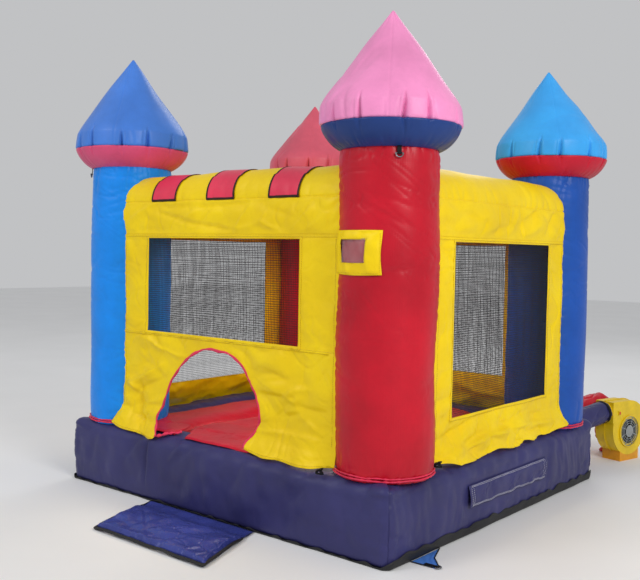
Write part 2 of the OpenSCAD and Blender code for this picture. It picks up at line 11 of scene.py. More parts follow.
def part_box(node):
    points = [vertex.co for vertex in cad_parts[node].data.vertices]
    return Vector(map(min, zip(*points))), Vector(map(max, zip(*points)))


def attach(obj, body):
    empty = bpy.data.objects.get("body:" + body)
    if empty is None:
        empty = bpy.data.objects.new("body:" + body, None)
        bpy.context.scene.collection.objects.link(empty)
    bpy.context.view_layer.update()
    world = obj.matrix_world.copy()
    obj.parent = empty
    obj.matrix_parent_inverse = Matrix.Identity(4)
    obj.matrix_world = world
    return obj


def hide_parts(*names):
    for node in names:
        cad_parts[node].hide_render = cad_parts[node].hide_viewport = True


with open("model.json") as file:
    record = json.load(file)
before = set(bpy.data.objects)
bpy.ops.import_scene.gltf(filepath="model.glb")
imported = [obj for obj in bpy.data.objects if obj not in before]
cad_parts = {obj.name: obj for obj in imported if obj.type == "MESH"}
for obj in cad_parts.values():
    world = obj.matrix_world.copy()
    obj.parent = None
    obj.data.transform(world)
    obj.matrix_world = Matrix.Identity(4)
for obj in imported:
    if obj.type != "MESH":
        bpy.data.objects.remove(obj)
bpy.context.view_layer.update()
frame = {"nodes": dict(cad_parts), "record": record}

PI = math.pi
SLOT_OF = {part["node"]: part["material_slot"] for part in frame["record"]["subparts"]}


def cad(node):
    lo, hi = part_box(node)
    return np.array(lo), np.array(hi)


# ---------- sizes taken from the frame ----------
HX, HY = cad("ground_sheet")[1][:2]
BASE_H = cad("base_front")[1][2]
BX, BY = cad("base_right")[1][0], cad("base_back")[1][1]
IX, IY = HX - 0.300, HY - 0.300
t_lo, t_hi = cad("tower_front_right")
COL_R = (t_hi[0] - t_lo[0]) / 2
COL_X, COL_Y = (t_hi[0] + t_lo[0]) / 2, -(t_hi[1] + t_lo[1]) / 2
c_lo, c_hi = cad("collar_front_right")
COL_TOP, CAP_SEAM, CAP_R = c_lo[2], c_hi[2], (c_hi[0] - c_lo[0]) / 2
CAP_TIP = cad("spire_front_right")[1][2]
b_lo, b_hi = cad("beam_front")
WALL_Y, BEAM_LOW, BEAM_R = -b_lo[1], b_lo[2], (b_hi[1] - b_lo[1]) / 2
BEAM_SEAM = b_hi[2] - BEAM_R
WALL_X = cad("beam_right")[1][0]
APRON_TOP = cad("front_wall")[0][2]
PLANE = {"front": WALL_Y, "back": WALL_Y, "right": WALL_X, "left": WALL_X}
HALF = {"front": 1.040, "back": 1.040, "right": 0.906, "left": 0.906}
SHOULDER_R, SHOULDER_Z = 0.418, 2.722
ROOF_Z = cad("roof_sheet")[0][2]


def place(side, a, out, z):
    """Point of a wall-like surface: a along the wall seen from outside, out away from the middle."""
    a, out, z = np.broadcast_arrays(a, out, z)
    if side == "front":
        return np.stack([a, -out, z], -1)
    if side == "right":
        return np.stack([out, a, z], -1)
    if side == "back":
        return np.stack([-a, out, z], -1)
    return np.stack([-out, -a, z], -1)


def window_of(side):
    """(a0, a1, z0, z1) of a net window, read from the CAD nets."""
    me = frame["nodes"]["window_nets"].data
    co = np.zeros(len(me.vertices) * 3)
    me.vertices.foreach_get("co", co)
    co = co.reshape(-1, 3)
    sign = {"front": (1, -1), "right": (0, 1), "back": (1, 1), "left": (0, -1)}[side]
    near = np.abs(co[:, sign[0]] * sign[1] - PLANE[side]) < 0.01
    p = co[near]
    a = {"front": p[:, 0], "right": p[:, 1], "back": -p[:, 0], "left": -p[:, 1]}[side]
    return a.min(), a.max(), p[:, 2].min(), p[:, 2].max()


WINDOW = {s: window_of(s) for s in PLANE}


# ---------- noise and folds ----------
def noise(p, size, amp, seed, n=14):
    """Smooth seeded noise over points, with features of about the given size."""
    g = np.random.default_rng(seed)
    out = np.zeros(p.shape[:-1])
    for _ in range(n):
        d = g.normal(size=p.shape[-1])
        d /= np.linalg.norm(d)
        out += np.sin(p @ d * (2 * PI / (size * g.uniform(0.7, 1.7))) + g.uniform(0, 6.283))
    return out * amp / math.sqrt(n / 2)


def crumple(p, size, amp, seed, sharp=0.22, cover=0.3):
    """Thin curved crease lines in patches, as slack coated cloth shows."""
    lines = np.exp(-((noise(p, size, 1, seed) / sharp) ** 2))
    patch = 1 / (1 + np.exp(-(noise(p, size * 2.2, 1, seed + 1) - cover) * 5))
    return -amp * lines * patch


def ridged(p, size, amp, seed, soft=0.02):
    """Soft facets with sharp valleys between them, like crumpled coated cloth."""
    n = noise(p, size, 1, seed)
    return amp * (np.sqrt(n * n + soft) - 0.75)


def puckers(u, d, pitch, amp, length, seed, width=(0.006, 0.016), slant=0.25, period=None):
    """Valleys that start at a seam, where d is 0, and fade away from it."""
    g = np.random.default_rng(seed)
    lo, hi = (0, period) if period else (u.min(), u.max())
    out = np.zeros(np.broadcast(u, d).shape)
    x = lo + g.uniform(0, 1) * pitch
    d = np.maximum(d, 0)
    while x < hi:
        a, w = amp * g.uniform(0.3, 1.3), g.uniform(*width)
        reach, s = length * g.uniform(0.4, 1.5), g.uniform(-slant, slant)
        t = u - x - s * d
        if period:
            t = (t + period / 2) % period - period / 2
        t = t / (w * (1 + 0.9 * d / reach))
        out -= a * np.exp(-np.abs(t) ** 1.6) * np.exp(-(d / reach) ** 1.4)
        x += pitch * g.uniform(0.45, 1.6)
    return out


def folds(a, z, items):
    """Ridges (depth above 0) and valleys along lines (a0, z0, a1, z1, depth, width)."""
    out = np.zeros(np.broadcast(a, z).shape)
    for a0, z0, a1, z1, depth, width in items:
        run = math.hypot(a1 - a0, z1 - z0)
        ta, tz = (a1 - a0) / run, (z1 - z0) / run
        s = (a - a0) * ta + (z - z0) * tz
        n = (a - a0) * -tz + (z - z0) * ta
        ends = np.maximum(np.maximum(-s, s - run), 0) / (0.25 * run + width)
        taper = np.clip(0.55 + 0.45 * np.sin(np.clip(s / run, 0, 1) * PI), 0, 1)
        side = np.where(n > 0, 1.0, 2.2)
        out += depth * taper * np.exp(-(np.abs(n) / (width * side)) ** 1.5) * np.exp(-ends ** 2)
    return out


def ease(x, a, b):
    t = np.clip((x - a) / (b - a), 0, 1)
    return t * t * (3 - 2 * t)


# ---------- meshes ----------
def make(name, verts, faces, mat, body="inflatable", nodes=(), slot=None, smooth=True):
    me = bpy.data.meshes.new(name)
    me.from_pydata(np.asarray(verts, float).tolist(), [], [tuple(f) for f in faces])
    me.update()
    bm = bmesh.new()
    bm.from_mesh(me)
    bmesh.ops.recalc_face_normals(bm, faces=bm.faces)
    bm.to_mesh(me)
    bm.free()
    me.polygons.foreach_set("use_smooth", [smooth] * len(me.polygons))
    ob = bpy.data.objects.new(name, me)
    bpy.context.scene.collection.objects.link(ob)
    me.materials.append(mat)
    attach(ob, body)
    for n in nodes:
        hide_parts(n)
    slot = SLOT_OF[nodes[0]] if nodes else slot
    return ob


def grid_faces(nu, nv, wrap_u=False, wrap_v=False):
    i, j = np.meshgrid(np.arange(nu if wrap_u else nu - 1),
                       np.arange(nv if wrap_v else nv - 1), indexing="ij")
    k, m = (i + 1) % nu, (j + 1) % nv
    return np.stack([i * nv + j, k * nv + j, k * nv + m, i * nv + m], -1).reshape(-1, 4)


def grid_normals(p, wrap_u=False, wrap_v=False):
    def diff(axis, wrap):
        if wrap:
            return np.roll(p, -1, axis) - np.roll(p, 1, axis)
        return np.gradient(p, axis=axis)
    n = np.cross(diff(0, wrap_u), diff(1, wrap_v))
    return n / np.maximum(np.linalg.norm(n, axis=-1, keepdims=True), 1e-12)


def solid_grid(name, p, mat, wrap_u=False, wrap_v=False, **kw):
    """Closed mesh from a grid that is wrapped one way; its two open ends are closed by fans."""
    nu, nv = p.shape[:2]
    verts = p.reshape(-1, 3).tolist()
    faces = grid_faces(nu, nv, wrap_u, wrap_v).tolist()
    if wrap_u:
        rings = [[i * nv for i in range(nu)], [i * nv + nv - 1 for i in range(nu)]]
    else:
        rings = [list(range(nv)), [(nu - 1) * nv + j for j in range(nv)]]
    for ring in rings:
        c = len(verts)
        verts.append(np.mean([verts[i] for i in ring], 0).tolist())
        faces += [(ring[i], ring[(i + 1) % len(ring)], c) for i in range(len(ring))]
    return make(name, verts, faces, mat, **kw)


def thick(name, v, f, mat, t, normals=None, **kw):
    """A sheet's vertices and faces as a closed mesh of thickness t, grown inwards from v."""
    v, f = np.asarray(v, float), np.asarray(f)
    if normals is None:
        tri = v[f[:, :3]]
        fn = np.cross(tri[:, 1] - tri[:, 0], tri[:, 2] - tri[:, 0])
        normals = np.zeros_like(v)
        for k in range(f.shape[1]):
            np.add.at(normals, f[:, k], fn)
        normals /= np.maximum(np.linalg.norm(normals, axis=1, keepdims=True), 1e-12)
    e = np.concatenate([np.stack([f[:, k], f[:, (k + 1) % f.shape[1]]], 1)
                        for k in range(f.shape[1])])
    key = np.sort(e, 1)
    _, first, count = np.unique(key, axis=0, return_index=True, return_counts=True)
    rim = e[first[count == 1]]
    n = len(v)
    faces = f.tolist() + (f[:, ::-1] + n).tolist()
    faces += [(a, b, b + n, a + n) for a, b in rim.tolist()]
    return make(name, np.concatenate([v, v - normals * t]), faces, mat, **kw)


def sheet_grid(name, p, mat, t, wrap_u=False, **kw):
    nu, nv = p.shape[:2]
    return thick(name, p.reshape(-1, 3), grid_faces(nu, nv, wrap_u), mat, t,
                 grid_normals(p, wrap_u).reshape(-1, 3), **kw)


def merged(name, parts, mat, **kw):
    verts, faces, n = [], [], 0
    for v, f in parts:
        v = np.asarray(v, float).reshape(-1, 3)
        verts.append(v)
        faces += (np.asarray(f) + n).tolist()
        n += len(v)
    return make(name, np.concatenate(verts), faces, mat, **kw)


def tube(path, radius, sides=8, closed=False, flat=1.0, up=(0, 0, 1)):
    """(verts, quads) of a round or flattened bar along a path."""
    p = np.asarray(path, float)
    tan = (np.roll(p, -1, 0) - np.roll(p, 1, 0)) if closed else np.gradient(p, axis=0)
    tan /= np.maximum(np.linalg.norm(tan, axis=1, keepdims=True), 1e-12)
    up = np.broadcast_to(np.asarray(up, float), p.shape)
    side = np.cross(tan, up)
    side /= np.maximum(np.linalg.norm(side, axis=1, keepdims=True), 1e-12)
    nor = np.cross(side, tan)
    ang = np.linspace(0, 2 * PI, sides, endpoint=False)
    r = np.broadcast_to(np.asarray(radius, float), (len(p),))[:, None, None]
    v = (p[:, None] + r * (np.cos(ang)[None, :, None] * side[:, None]
                           + flat * np.sin(ang)[None, :, None] * nor[:, None]))
    f = grid_faces(len(p), sides, closed, True).tolist()
    if not closed:
        n = len(p)
        f.append(tuple(range(sides))[::-1])
        f.append(tuple((n - 1) * sides + j for j in range(sides)))
    return v.reshape(-1, 3), f


def bars(parts):
    """Joins (verts, faces) pairs whose faces may have different numbers of corners."""
    verts, faces, n = [], [], 0
    for v, f in parts:
        verts.append(v)
        faces += [tuple(i + n for i in q) for q in f]
        n += len(v)
    return np.concatenate(verts), faces


def stitches(path, normals, pitch=0.011, length=0.0075, width=0.0011, lift=0.0008):
    """Sewing thread laid as dashes along a path on a surface."""
    p, nn = np.asarray(path, float), np.asarray(normals, float)
    step = np.linalg.norm(np.diff(p, axis=0), axis=1)
    s = np.concatenate([[0], np.cumsum(step)])
    at = np.arange(pitch / 2, s[-1] - length, pitch)
    ends = []
    for off in (0, 0.5, 1):
        ends.append(np.stack([np.interp(at + off * length, s, p[:, k]) for k in range(3)], 1))
    nor = np.stack([np.interp(at, s, nn[:, k]) for k in range(3)], 1)
    tan = ends[2] - ends[0]
    tan /= np.maximum(np.linalg.norm(tan, axis=1, keepdims=True), 1e-12)
    side = np.cross(tan, nor) * width / 2
    up = nor * lift
    rows = [ends[0] - up, ends[1] + up, ends[2] - up]
    v = np.stack([rows[0] - side, rows[0] + side, rows[1] + side, rows[1] - side,
                  rows[2] - side, rows[2] + side, rows[1] - side - up * 2,
                  rows[1] + side - up * 2], 1)
    base = np.array([[0, 1, 2, 3], [3, 2, 5, 4], [4, 5, 7, 6], [6, 7, 1, 0],
                     [0, 3, 4, 6], [1, 7, 5, 2]])
    f = (base[None] + 8 * np.arange(len(at))[:, None, None]).reshape(-1, 4)
    return v.reshape(-1, 3), f


# ---------- materials ----------
def nodes_of(name):
    mat = bpy.data.materials.new(name)
    mat.use_nodes = True
    nt = mat.node_tree
    return mat, nt, nt.nodes["Principled BSDF"]


def add(nt, kind, **values):
    node = nt.nodes.new(kind)
    for k, v in values.items():
        if k in node.inputs:
            node.inputs[k].default_value = v
        else:
            setattr(node, k, v)
    return node


def tint(rgb, k):
    """A display colour scaled by k, as a linear one."""
    return (*[max(0.0, min(1.0, x * k)) ** 2.2 for x in rgb], 1)


def object_noise(nt, coords, **values):
    node = add(nt, "ShaderNodeTexNoise", **values)
    nt.links.new(coords.outputs["Object"], node.inputs["Vector"])
    return node


def dyed(nt, fac, low, high, at=None):
    """A colour ramp between two colours, driven by a noise."""
    ramp = add(nt, "ShaderNodeValToRGB")
    ends = ramp.color_ramp.elements
    if at:
        ends[0].position, ends[1].position = at
    ends[0].color, ends[1].color = low, high
    nt.links.new(fac.outputs["Fac"], ramp.inputs["Fac"])
    return ramp.outputs["Color"]


def uneven(nt, fac, low, high, target):
    """Drives a socket between two values by a noise."""
    node = add(nt, "ShaderNodeMapRange")
    node.inputs["To Min"].default_value, node.inputs["To Max"].default_value = low, high
    nt.links.new(fac.outputs["Fac"], node.inputs["Value"])
    nt.links.new(node.outputs["Result"], target)


def bumped(nt, height, target, below=None, **values):
    node = add(nt, "ShaderNodeBump", **values)
    nt.links.new(height, node.inputs["Height"])
    if below:
        nt.links.new(below.outputs["Normal"], node.inputs["Normal"])
    if target:
        nt.links.new(node.outputs["Normal"], target)
    return node


def cloth_material(name, rgb, rough=0.40, weave=0.0016, bump=0.35, wrinkle=0.5, tone=0.10,
                   coat=0.02, scale=1.0):
    """Coated cloth: uneven dye, a fine basket weave under the coating, soft small creases."""
    mat, nt, bsdf = nodes_of(name)
    link = nt.links.new
    tc = add(nt, "ShaderNodeTexCoord")
    big = object_noise(nt, tc, Scale=2.2 * scale, Detail=5.0, Roughness=0.6)
    fine = object_noise(nt, tc, Scale=38.0 * scale, Detail=4.0, Roughness=0.65)
    dye = dyed(nt, big, tint(rgb, 1 - tone), tint(rgb, 1 + tone * 0.6), (0.30, 0.72))
    dust = add(nt, "ShaderNodeMix", data_type="RGBA")
    dust.inputs[7].default_value = tint([0.85 * c + 0.04 for c in rgb], 1)
    speck = add(nt, "ShaderNodeMapRange")
    for k, v in (("From Min", 0.52), ("From Max", 0.78), ("To Max", 0.30)):
        speck.inputs[k].default_value = v
    link(fine.outputs["Fac"], speck.inputs["Value"])
    link(speck.outputs["Result"], dust.inputs[0])
    link(dye, dust.inputs[6])
    link(dust.outputs[2], bsdf.inputs["Base Color"])
    uneven(nt, fine, rough - 0.09, rough + 0.12, bsdf.inputs["Roughness"])
    weaves = None
    for direction in ("X", "Y", "Z"):
        wave = add(nt, "ShaderNodeTexWave", Scale=1 / (weave * 20), Distortion=0.6,
                   bands_direction=direction)
        link(tc.outputs["Object"], wave.inputs["Vector"])
        if weaves is None:
            weaves = wave.outputs["Fac"]
            continue
        both = add(nt, "ShaderNodeMath", operation="ADD")
        link(weaves, both.inputs[0])
        link(wave.outputs["Fac"], both.inputs[1])
        weaves = both.outputs[0]
    fine_bump = bumped(nt, weaves, None, Strength=bump, Distance=0.0003)
    crease = add(nt, "ShaderNodeTexNoise", noise_type="RIDGED_MULTIFRACTAL", Detail=2.0,
                 Roughness=0.5, Distortion=0.5)
    crease.inputs["Scale"].default_value = 5.0 * scale
    link(tc.outputs["Object"], crease.inputs["Vector"])
    bumped(nt, crease.outputs["Fac"], bsdf.inputs["Normal"], below=fine_bump, Strength=wrinkle,
           Distance=0.010, invert=True)
    bsdf.inputs["Coat Weight"].default_value = coat
    bsdf.inputs["Coat Roughness"].default_value = 0.35
    bsdf.inputs["Specular IOR Level"].default_value = 0.26
    return mat


def plain_material(name, rgb, rough=0.4, metal=0.0, grain=60.0, bump=0.15, tone=0.12,
                   depth=0.001):
    """Moulded plastic or metal: slight mottling, handling marks, fine surface grain."""
    mat, nt, bsdf = nodes_of(name)
    tc = add(nt, "ShaderNodeTexCoord")
    mott = object_noise(nt, tc, Scale=9.0, Detail=6.0, Roughness=0.65)
    fine = object_noise(nt, tc, Scale=grain, Detail=4.0, Roughness=0.7)
    nt.links.new(dyed(nt, mott, tint(rgb, 1 - tone), tint(rgb, 1 + tone * 0.5), (0.28, 0.75)),
                 bsdf.inputs["Base Color"])
    uneven(nt, fine, rough - 0.1, rough + 0.15, bsdf.inputs["Roughness"])
    bumped(nt, fine.outputs["Fac"], bsdf.inputs["Normal"], Strength=bump, Distance=depth)
    bsdf.inputs["Metallic"].default_value = metal
    return mat


def clear_material(name):
    """Clear film, a little hazy and unevenly glossy, tinted dark reddish grey as painted shade of the
    shaded red tower behind it.
    """
    mat, nt, bsdf = nodes_of(name)
    tc = add(nt, "ShaderNodeTexCoord")
    haze_and_painted_shade = object_noise(nt, tc, Scale=22.0, Detail=4.0)
    # dark reddish grey tint: painted shade of the tower seen through the film, mottled by the noise
    nt.links.new(dyed(nt, haze_and_painted_shade, (0.30, 0.20, 0.22, 1), (0.62, 0.55, 0.56, 1)),
                 bsdf.inputs["Base Color"])
    uneven(nt, haze_and_painted_shade, 0.05, 0.35, bsdf.inputs["Roughness"])
    bumped(nt, haze_and_painted_shade.outputs["Fac"], bsdf.inputs["Normal"], Strength=0.4, Distance=0.004)
    bsdf.inputs["Alpha"].default_value = 0.20
    return mat


M = {
    "black": cloth_material("sheet_black", (0.17, 0.17, 0.175), rough=0.55, tone=0.2),
    "navy": cloth_material("vinyl_navy", (0.225, 0.222, 0.405), rough=0.42, tone=0.12),
    "step": cloth_material("vinyl_step", (0.235, 0.27, 0.56), rough=0.27, tone=0.15,
                           wrinkle=1.2),
    "crimson": cloth_material("vinyl_crimson", (0.78, 0.11, 0.21)),
    "red": cloth_material("vinyl_red", (0.76, 0.09, 0.17), rough=0.36),
    "blue": cloth_material("vinyl_blue", (0.09, 0.53, 0.92)),
    "royal": cloth_material("vinyl_royal", (0.12, 0.32, 0.67)),
    "pink": cloth_material("vinyl_pink", (0.95, 0.57, 0.77), rough=0.38),
    "dark_blue": cloth_material("vinyl_dark_blue", (0.13, 0.24, 0.48)),
    "mid_blue": cloth_material("vinyl_mid_blue", (0.28, 0.49, 0.84), rough=0.38),
    "rose": cloth_material("vinyl_rose", (0.84, 0.31, 0.47)),
    "sky": cloth_material("vinyl_sky", (0.25, 0.66, 0.98), rough=0.38),
    "coral": cloth_material("vinyl_coral", (0.86, 0.37, 0.45)),
    "yellow": cloth_material("vinyl_yellow", (0.99, 0.83, 0.03), rough=0.44, tone=0.07,
                             wrinkle=0.9),
    # the roof is the same yellow vinyl; this darker, more orange copy is painted shade for the shaded
    # inside of the house
    "inner": cloth_material("vinyl_yellow_roof_painted_shade", (0.95, 0.74, 0.06), rough=0.5, tone=0.08),
    "stripe": cloth_material("vinyl_stripe", (0.91, 0.24, 0.35), rough=0.36),
    "edge": cloth_material("stripe_edge", (0.20, 0.12, 0.10), rough=0.5),
    "binding": cloth_material("binding", (0.88, 0.22, 0.36), rough=0.42, scale=3.0),
    "piping": cloth_material("piping", (0.86, 0.20, 0.32), rough=0.38, scale=3.0),
    "tab_blue": cloth_material("tab_blue", (0.30, 0.50, 0.84), rough=0.5, weave=0.003,
                               bump=0.7, scale=3.0),
    "webbing": cloth_material("webbing", (0.10, 0.10, 0.11), rough=0.7, weave=0.0035,
                              bump=0.9, scale=4.0, coat=0.0),
    "net": plain_material("net_cord", (0.13, 0.13, 0.14), rough=0.7, grain=400.0),
    "thread": plain_material("thread", (0.62, 0.45, 0.16), rough=0.7, grain=600.0),
    "thread_w": plain_material("thread_white", (0.80, 0.80, 0.86), rough=0.7, grain=600.0),
    "clear": clear_material("clear_film"),
    "steel": plain_material("steel", (0.50, 0.50, 0.52), rough=0.32, metal=1.0),
    "tape": cloth_material("zip_tape", (0.14, 0.14, 0.26), rough=0.7, weave=0.002, scale=4.0),
    "blower": plain_material("blower_yellow", (0.92, 0.78, 0.07), rough=0.42, grain=140.0,
                             bump=0.25, tone=0.10),
    "stand": plain_material("blower_stand", (0.90, 0.61, 0.06), rough=0.42, grain=140.0,
                            bump=0.25),
    "motor": plain_material("motor_shell", (0.24, 0.24, 0.26), rough=0.4, metal=0.7),
    "fan": plain_material("fan_plastic", (0.10, 0.10, 0.11), rough=0.45),
    "grille": plain_material("grille_wire", (0.66, 0.68, 0.68), rough=0.35, metal=0.8),
    "switch": plain_material("switch_red", (0.85, 0.14, 0.12), rough=0.3),
    "baffle": cloth_material("baffle_cloth", (0.28, 0.28, 0.34), rough=0.7),
}

for node, key in {"base_baffles": "baffle", "zip_slider": "steel", "blower_stand": "stand",
                  "blower_motor": "motor", "blower_impeller": "fan", "inlet_grille": "grille",
                  "blower_housing": "blower", "rocker_switch": "switch"}.items():
    data = frame["nodes"][node].data
    data.materials.clear()
    data.materials.append(M[key])
for node, ob in frame["nodes"].items():
    if node.startswith(("tether_ring", "anchor_ring")):
        ob.data.materials.clear()
        ob.data.materials.append(M["steel"])


# ---------- base ----------
def zip_zone(y, z):
    """1 where the deflation zip lies flat on the right side of the base."""
    return ease(-np.abs(y), -0.66, -0.58) * ease(z, 0.12, 0.17) * ease(-z, -0.38, -0.33)


def base_section(flat):
    """Rows (inward share, outward bulge, height, skin weight) from the ground up and over."""
    rows = [(0.00, -0.010, 0.006, 0.0), (0.00, -0.002, 0.020, 0.1)]
    for z in np.linspace(0.034, 0.478 - flat * 0.93, 25):
        rows.append((0.0, 0.010 * math.sin(PI * (z - 0.01) / 0.42), z, min(1.0, z * 7)))
    for k in range(1, 13):
        t = k / 12 * PI / 2
        rows.append((flat * (1 - math.cos(t)) / 0.296, 0.004 * (1 - k / 12),
                     0.478 - flat * 0.93 * (1 - math.sin(t)), 1.0))
    for k in range(1, 12):
        t = k / 11
        rows.append(((flat + (0.296 - flat) * t) / 0.296, 0.0,
                     0.478 + 0.010 * math.sin(PI * t) - 0.030 * t ** 6, 1.0 - 0.6 * t))
    rows += [(1.01, 0.0, 0.425, 0.0), (1.01, 0.0, 0.20, 0.0), (1.01, 0.0, 0.008, 0.0),
             (0.5, 0.0, 0.006, 0.0)]
    return np.array(rows)


def base_side(side):
    plane, half = (BY, BX) if side in ("front", "back") else (BX, BY)
    rc, ri, rim = 0.060, 0.015, 0.296
    straight = np.arange(-half + rc, half - rc, 0.0125)
    arc = np.linspace(0, PI / 4, 9)
    o = [(-half + rc - rc * math.sin(t), plane - rc + rc * math.cos(t)) for t in arc[::-1]]
    i = [(-half + rim + ri - ri * math.sin(t), plane - rim - ri + ri * math.cos(t))
         for t in arc[::-1]]
    n = [(-math.sin(t), math.cos(t)) for t in arc[::-1]]
    for a in straight[1:]:
        o.append((a, plane))
        i.append((a * (half - rim) / half, plane - rim))
        n.append((0, 1))
    o += [(-x, y) for x, y in o[:9][::-1]]
    i += [(-x, y) for x, y in i[:9][::-1]]
    n += [(-x, y) for x, y in n[:9][::-1]]
    o, i, n = np.array(o), np.array(i), np.array(n)
    sec = np.array([base_section(0.105 - 0.055 * ease(abs(x), half - 0.22, half - 0.04))
                    for x in o[:, 0]])
    share, bulge, z, weight = (sec[..., k] for k in range(4))
    flat = zip_zone(o[:, :1], z) if side == "right" else 0 * z
    bulge = np.where(flat > 0, bulge * (1 - flat), bulge)
    a = o[:, :1] + (i - o)[:, :1] * share + n[:, :1] * bulge
    out = o[:, 1:] + (i - o)[:, 1:] * share + n[:, 1:] * bulge
    p = place(side, a, out, z)
    nor = grid_normals(p, False, True)
    centre = np.array([0, 0, 0.24])
    if np.mean(((p - centre) * nor).sum(-1)[:, 5:20]) < 0:
        nor = -nor
    seed = {"front": 11, "right": 12, "back": 13, "left": 14}[side]
    steps = np.hypot(np.diff(share * rim, axis=1), np.diff(z, axis=1))
    length = np.concatenate([np.zeros((len(o), 1)), np.cumsum(steps, axis=1)], 1)
    top = length[len(o) // 2][np.argmax(z[len(o) // 2])]
    aa = o[:, :1] + 0 * z
    d = noise(p, 0.55, 0.0055, seed) + noise(p, 0.16, 0.0018, seed + 5)
    d += ridged(p * np.array([1, 1, 0.45]), 0.20, 0.0055, seed + 6)
    d += puckers(aa, np.abs(length - 0.03), 0.10, 0.005, 0.10, seed + 1)
    d += puckers(aa, np.abs(length - top - 0.16), 0.085, 0.006, 0.16, seed + 2, slant=0.5)
    d += crumple(p * np.array([1, 1, 0.5]), 0.35, 0.004, seed + 7, cover=0.5)
    for end in (-half, half):
        d += puckers(z, np.abs(aa - end), 0.075, 0.008, 0.18, seed + 3, slant=0.4)
    if side == "front":
        d += folds(aa, z, [(-0.637, 0.43, -0.636, 0.17, -0.024, 0.010),
                           (-0.60, 0.42, -0.605, 0.22, 0.005, 0.02),
                           (-0.73, 0.44, -0.85, 0.28, -0.008, 0.014),
                           (-0.69, 0.45, -0.79, 0.33, -0.005, 0.012),
                           (-0.32, 0.46, -0.39, 0.36, -0.009, 0.016),
                           (-0.24, 0.47, -0.36, 0.35, 0.006, 0.02),
                           (-0.12, 0.47, -0.33, 0.32, -0.007, 0.018),
                           (0.35, 0.44, 0.30, 0.33, -0.005, 0.02),
                           (-1.20, 0.40, -1.30, 0.15, -0.006, 0.03),
                           (1.15, 0.40, 1.22, 0.12, -0.006, 0.035)])
    if side == "right":
        arcs = [(0.74 + 0.062 * k, 0.42 - 0.01 * k, 0.80 + 0.062 * k, 0.14, -0.0045, 0.011)
                for k in range(8)]
        arcs += [(-1.36 + 0.075 * k, 0.43, -1.33 + 0.08 * k, 0.08, -0.006, 0.02)
                 for k in range(5)]
        d += folds(aa, z, arcs)
        d *= 1 - 0.92 * flat
    if side in ("back", "left"):
        g = np.random.default_rng(seed)
        d += folds(aa, z, [(x, 0.43, x + g.uniform(-0.08, 0.08), g.uniform(0.1, 0.3),
                            g.uniform(-0.009, -0.004), g.uniform(0.01, 0.02))
                           for x in g.uniform(-1.35, 1.35, 12)])
    if side == "front":
        weight = weight * (1 - 0.8 * ease(-np.abs(aa), -0.74, -0.60) * ease(share, 0.15, 0.30))
    p = p + nor * (d * weight)[..., None]
    ob = solid_grid("base_" + side + "_skin", p, M["navy"], wrap_v=True,
                    nodes=["base_" + side], slot="vinyl_navy")
    return ob


for side in PLANE:
    base_side(side)

# the ground sheet turns up round the bottom of the base
ring = []
for (sx, sy) in ((1, -1), (1, 1), (-1, 1), (-1, -1)):
    start = {(1, -1): -PI / 2, (1, 1): 0, (-1, 1): PI / 2, (-1, -1): PI}[(sx, sy)]
    for t in np.linspace(0, PI / 2, 9):
        ring.append((sx * (HX - 0.05), sy * (HY - 0.05), math.cos(start + t),
                     math.sin(start + t)))
ring = np.array(ring)
dense = []
for k in range(len(ring)):
    q, r = ring[k], ring[(k + 1) % len(ring)]
    steps = max(1, int(np.hypot(*(r[:2] - q[:2])) / 0.02))
    dense += [q + (r - q) * j / steps for j in range(steps)]
ring = np.array(dense)
rows = [(-0.60, 0.0022), (-0.30, 0.0022), (-0.05, 0.0022), (0.040, 0.0022), (0.048, 0.0035),
        (0.0520, 0.009), (0.0560, 0.018), (0.0575, 0.030), (0.0575, 0.040)]
p = np.stack([np.stack([ring[:, 0] + ring[:, 2] * r, ring[:, 1] + ring[:, 3] * r,
                        np.full(len(ring), z)], -1) for r, z in rows], 1)
wob = noise(p[..., :2], 0.35, 1.0, 31)
rim = np.array([0, 0, 0, 0.2, 0.6, 1, 1, 1, 1])[None, :]
p[..., :2] += ring[:, None, 2:] * (wob * 0.0022 * rim)[..., None]
tall = 1 + 0.7 * np.maximum(ring[:, 2], 0) - 0.6 * np.maximum(-ring[:, 3], 0)
p[..., 4:, 2] *= tall[:, None]
p[..., 2] += 0.006 * rim * (noise(p[..., :2], 0.12, 1.0, 32)) * np.array(
    [0, 0, 0, 0, 0, 0.1, 0.4, 0.8, 1])[None, :]
p[..., 2] = np.maximum(p[..., 2], 0.0021)
ground = sheet_grid("ground_sheet_skin", p, M["black"], 0.0016, wrap_u=True,
                    nodes=["ground_sheet"], slot="vinyl_black")

# ---------- bounce bed ----------
VALLEYS = [-IX, -0.645, 0.645, IX]


def bed_top(x, y):
    """Height of the bed: flat-topped pillows with steep sides into narrow valleys."""
    near = np.min([np.abs(x - v) for v in VALLEYS], axis=0)
    drop = (1 - (1 - np.clip(near / 0.20, 0, 1)) ** 2) ** 0.62
    ends = np.maximum(np.minimum(y + IY, IY - y), 0)
    return BASE_H + 0.010 - 0.066 * (1 - drop) - 0.035 * np.exp(-ends / 0.035), near


x = np.concatenate([np.linspace(p, q, max(2, int((q - p) / 0.0165)), endpoint=False)
                    for p, q in zip(VALLEYS[:-1], VALLEYS[1:])] + [[IX]])
y = np.linspace(-IY - 0.002, IY + 0.002, 170)
X, Y = np.meshgrid(x, y, indexing="ij")
Z, valley = bed_top(X, Y)
P = np.stack([X, Y, Z], -1)
fade = ease(valley, 0.0, 0.03)
Z += puckers(Y, valley, 0.060, 0.007, 0.07, 41, slant=0.5) * fade
Z += noise(P[..., :2], 0.4, 0.003, 42) * fade
Z += crumple(P[..., :2], 0.28, 0.003, 43) * fade
P[..., 2] = np.minimum(Z, BASE_H + 0.016)
bed = thick("bounce_bed_skin", P.reshape(-1, 3), grid_faces(*X.shape), M["crimson"], 0.12,
            np.broadcast_to(np.array([0, 0, 1.0]), (X.size, 3)), nodes=["bounce_bed"])



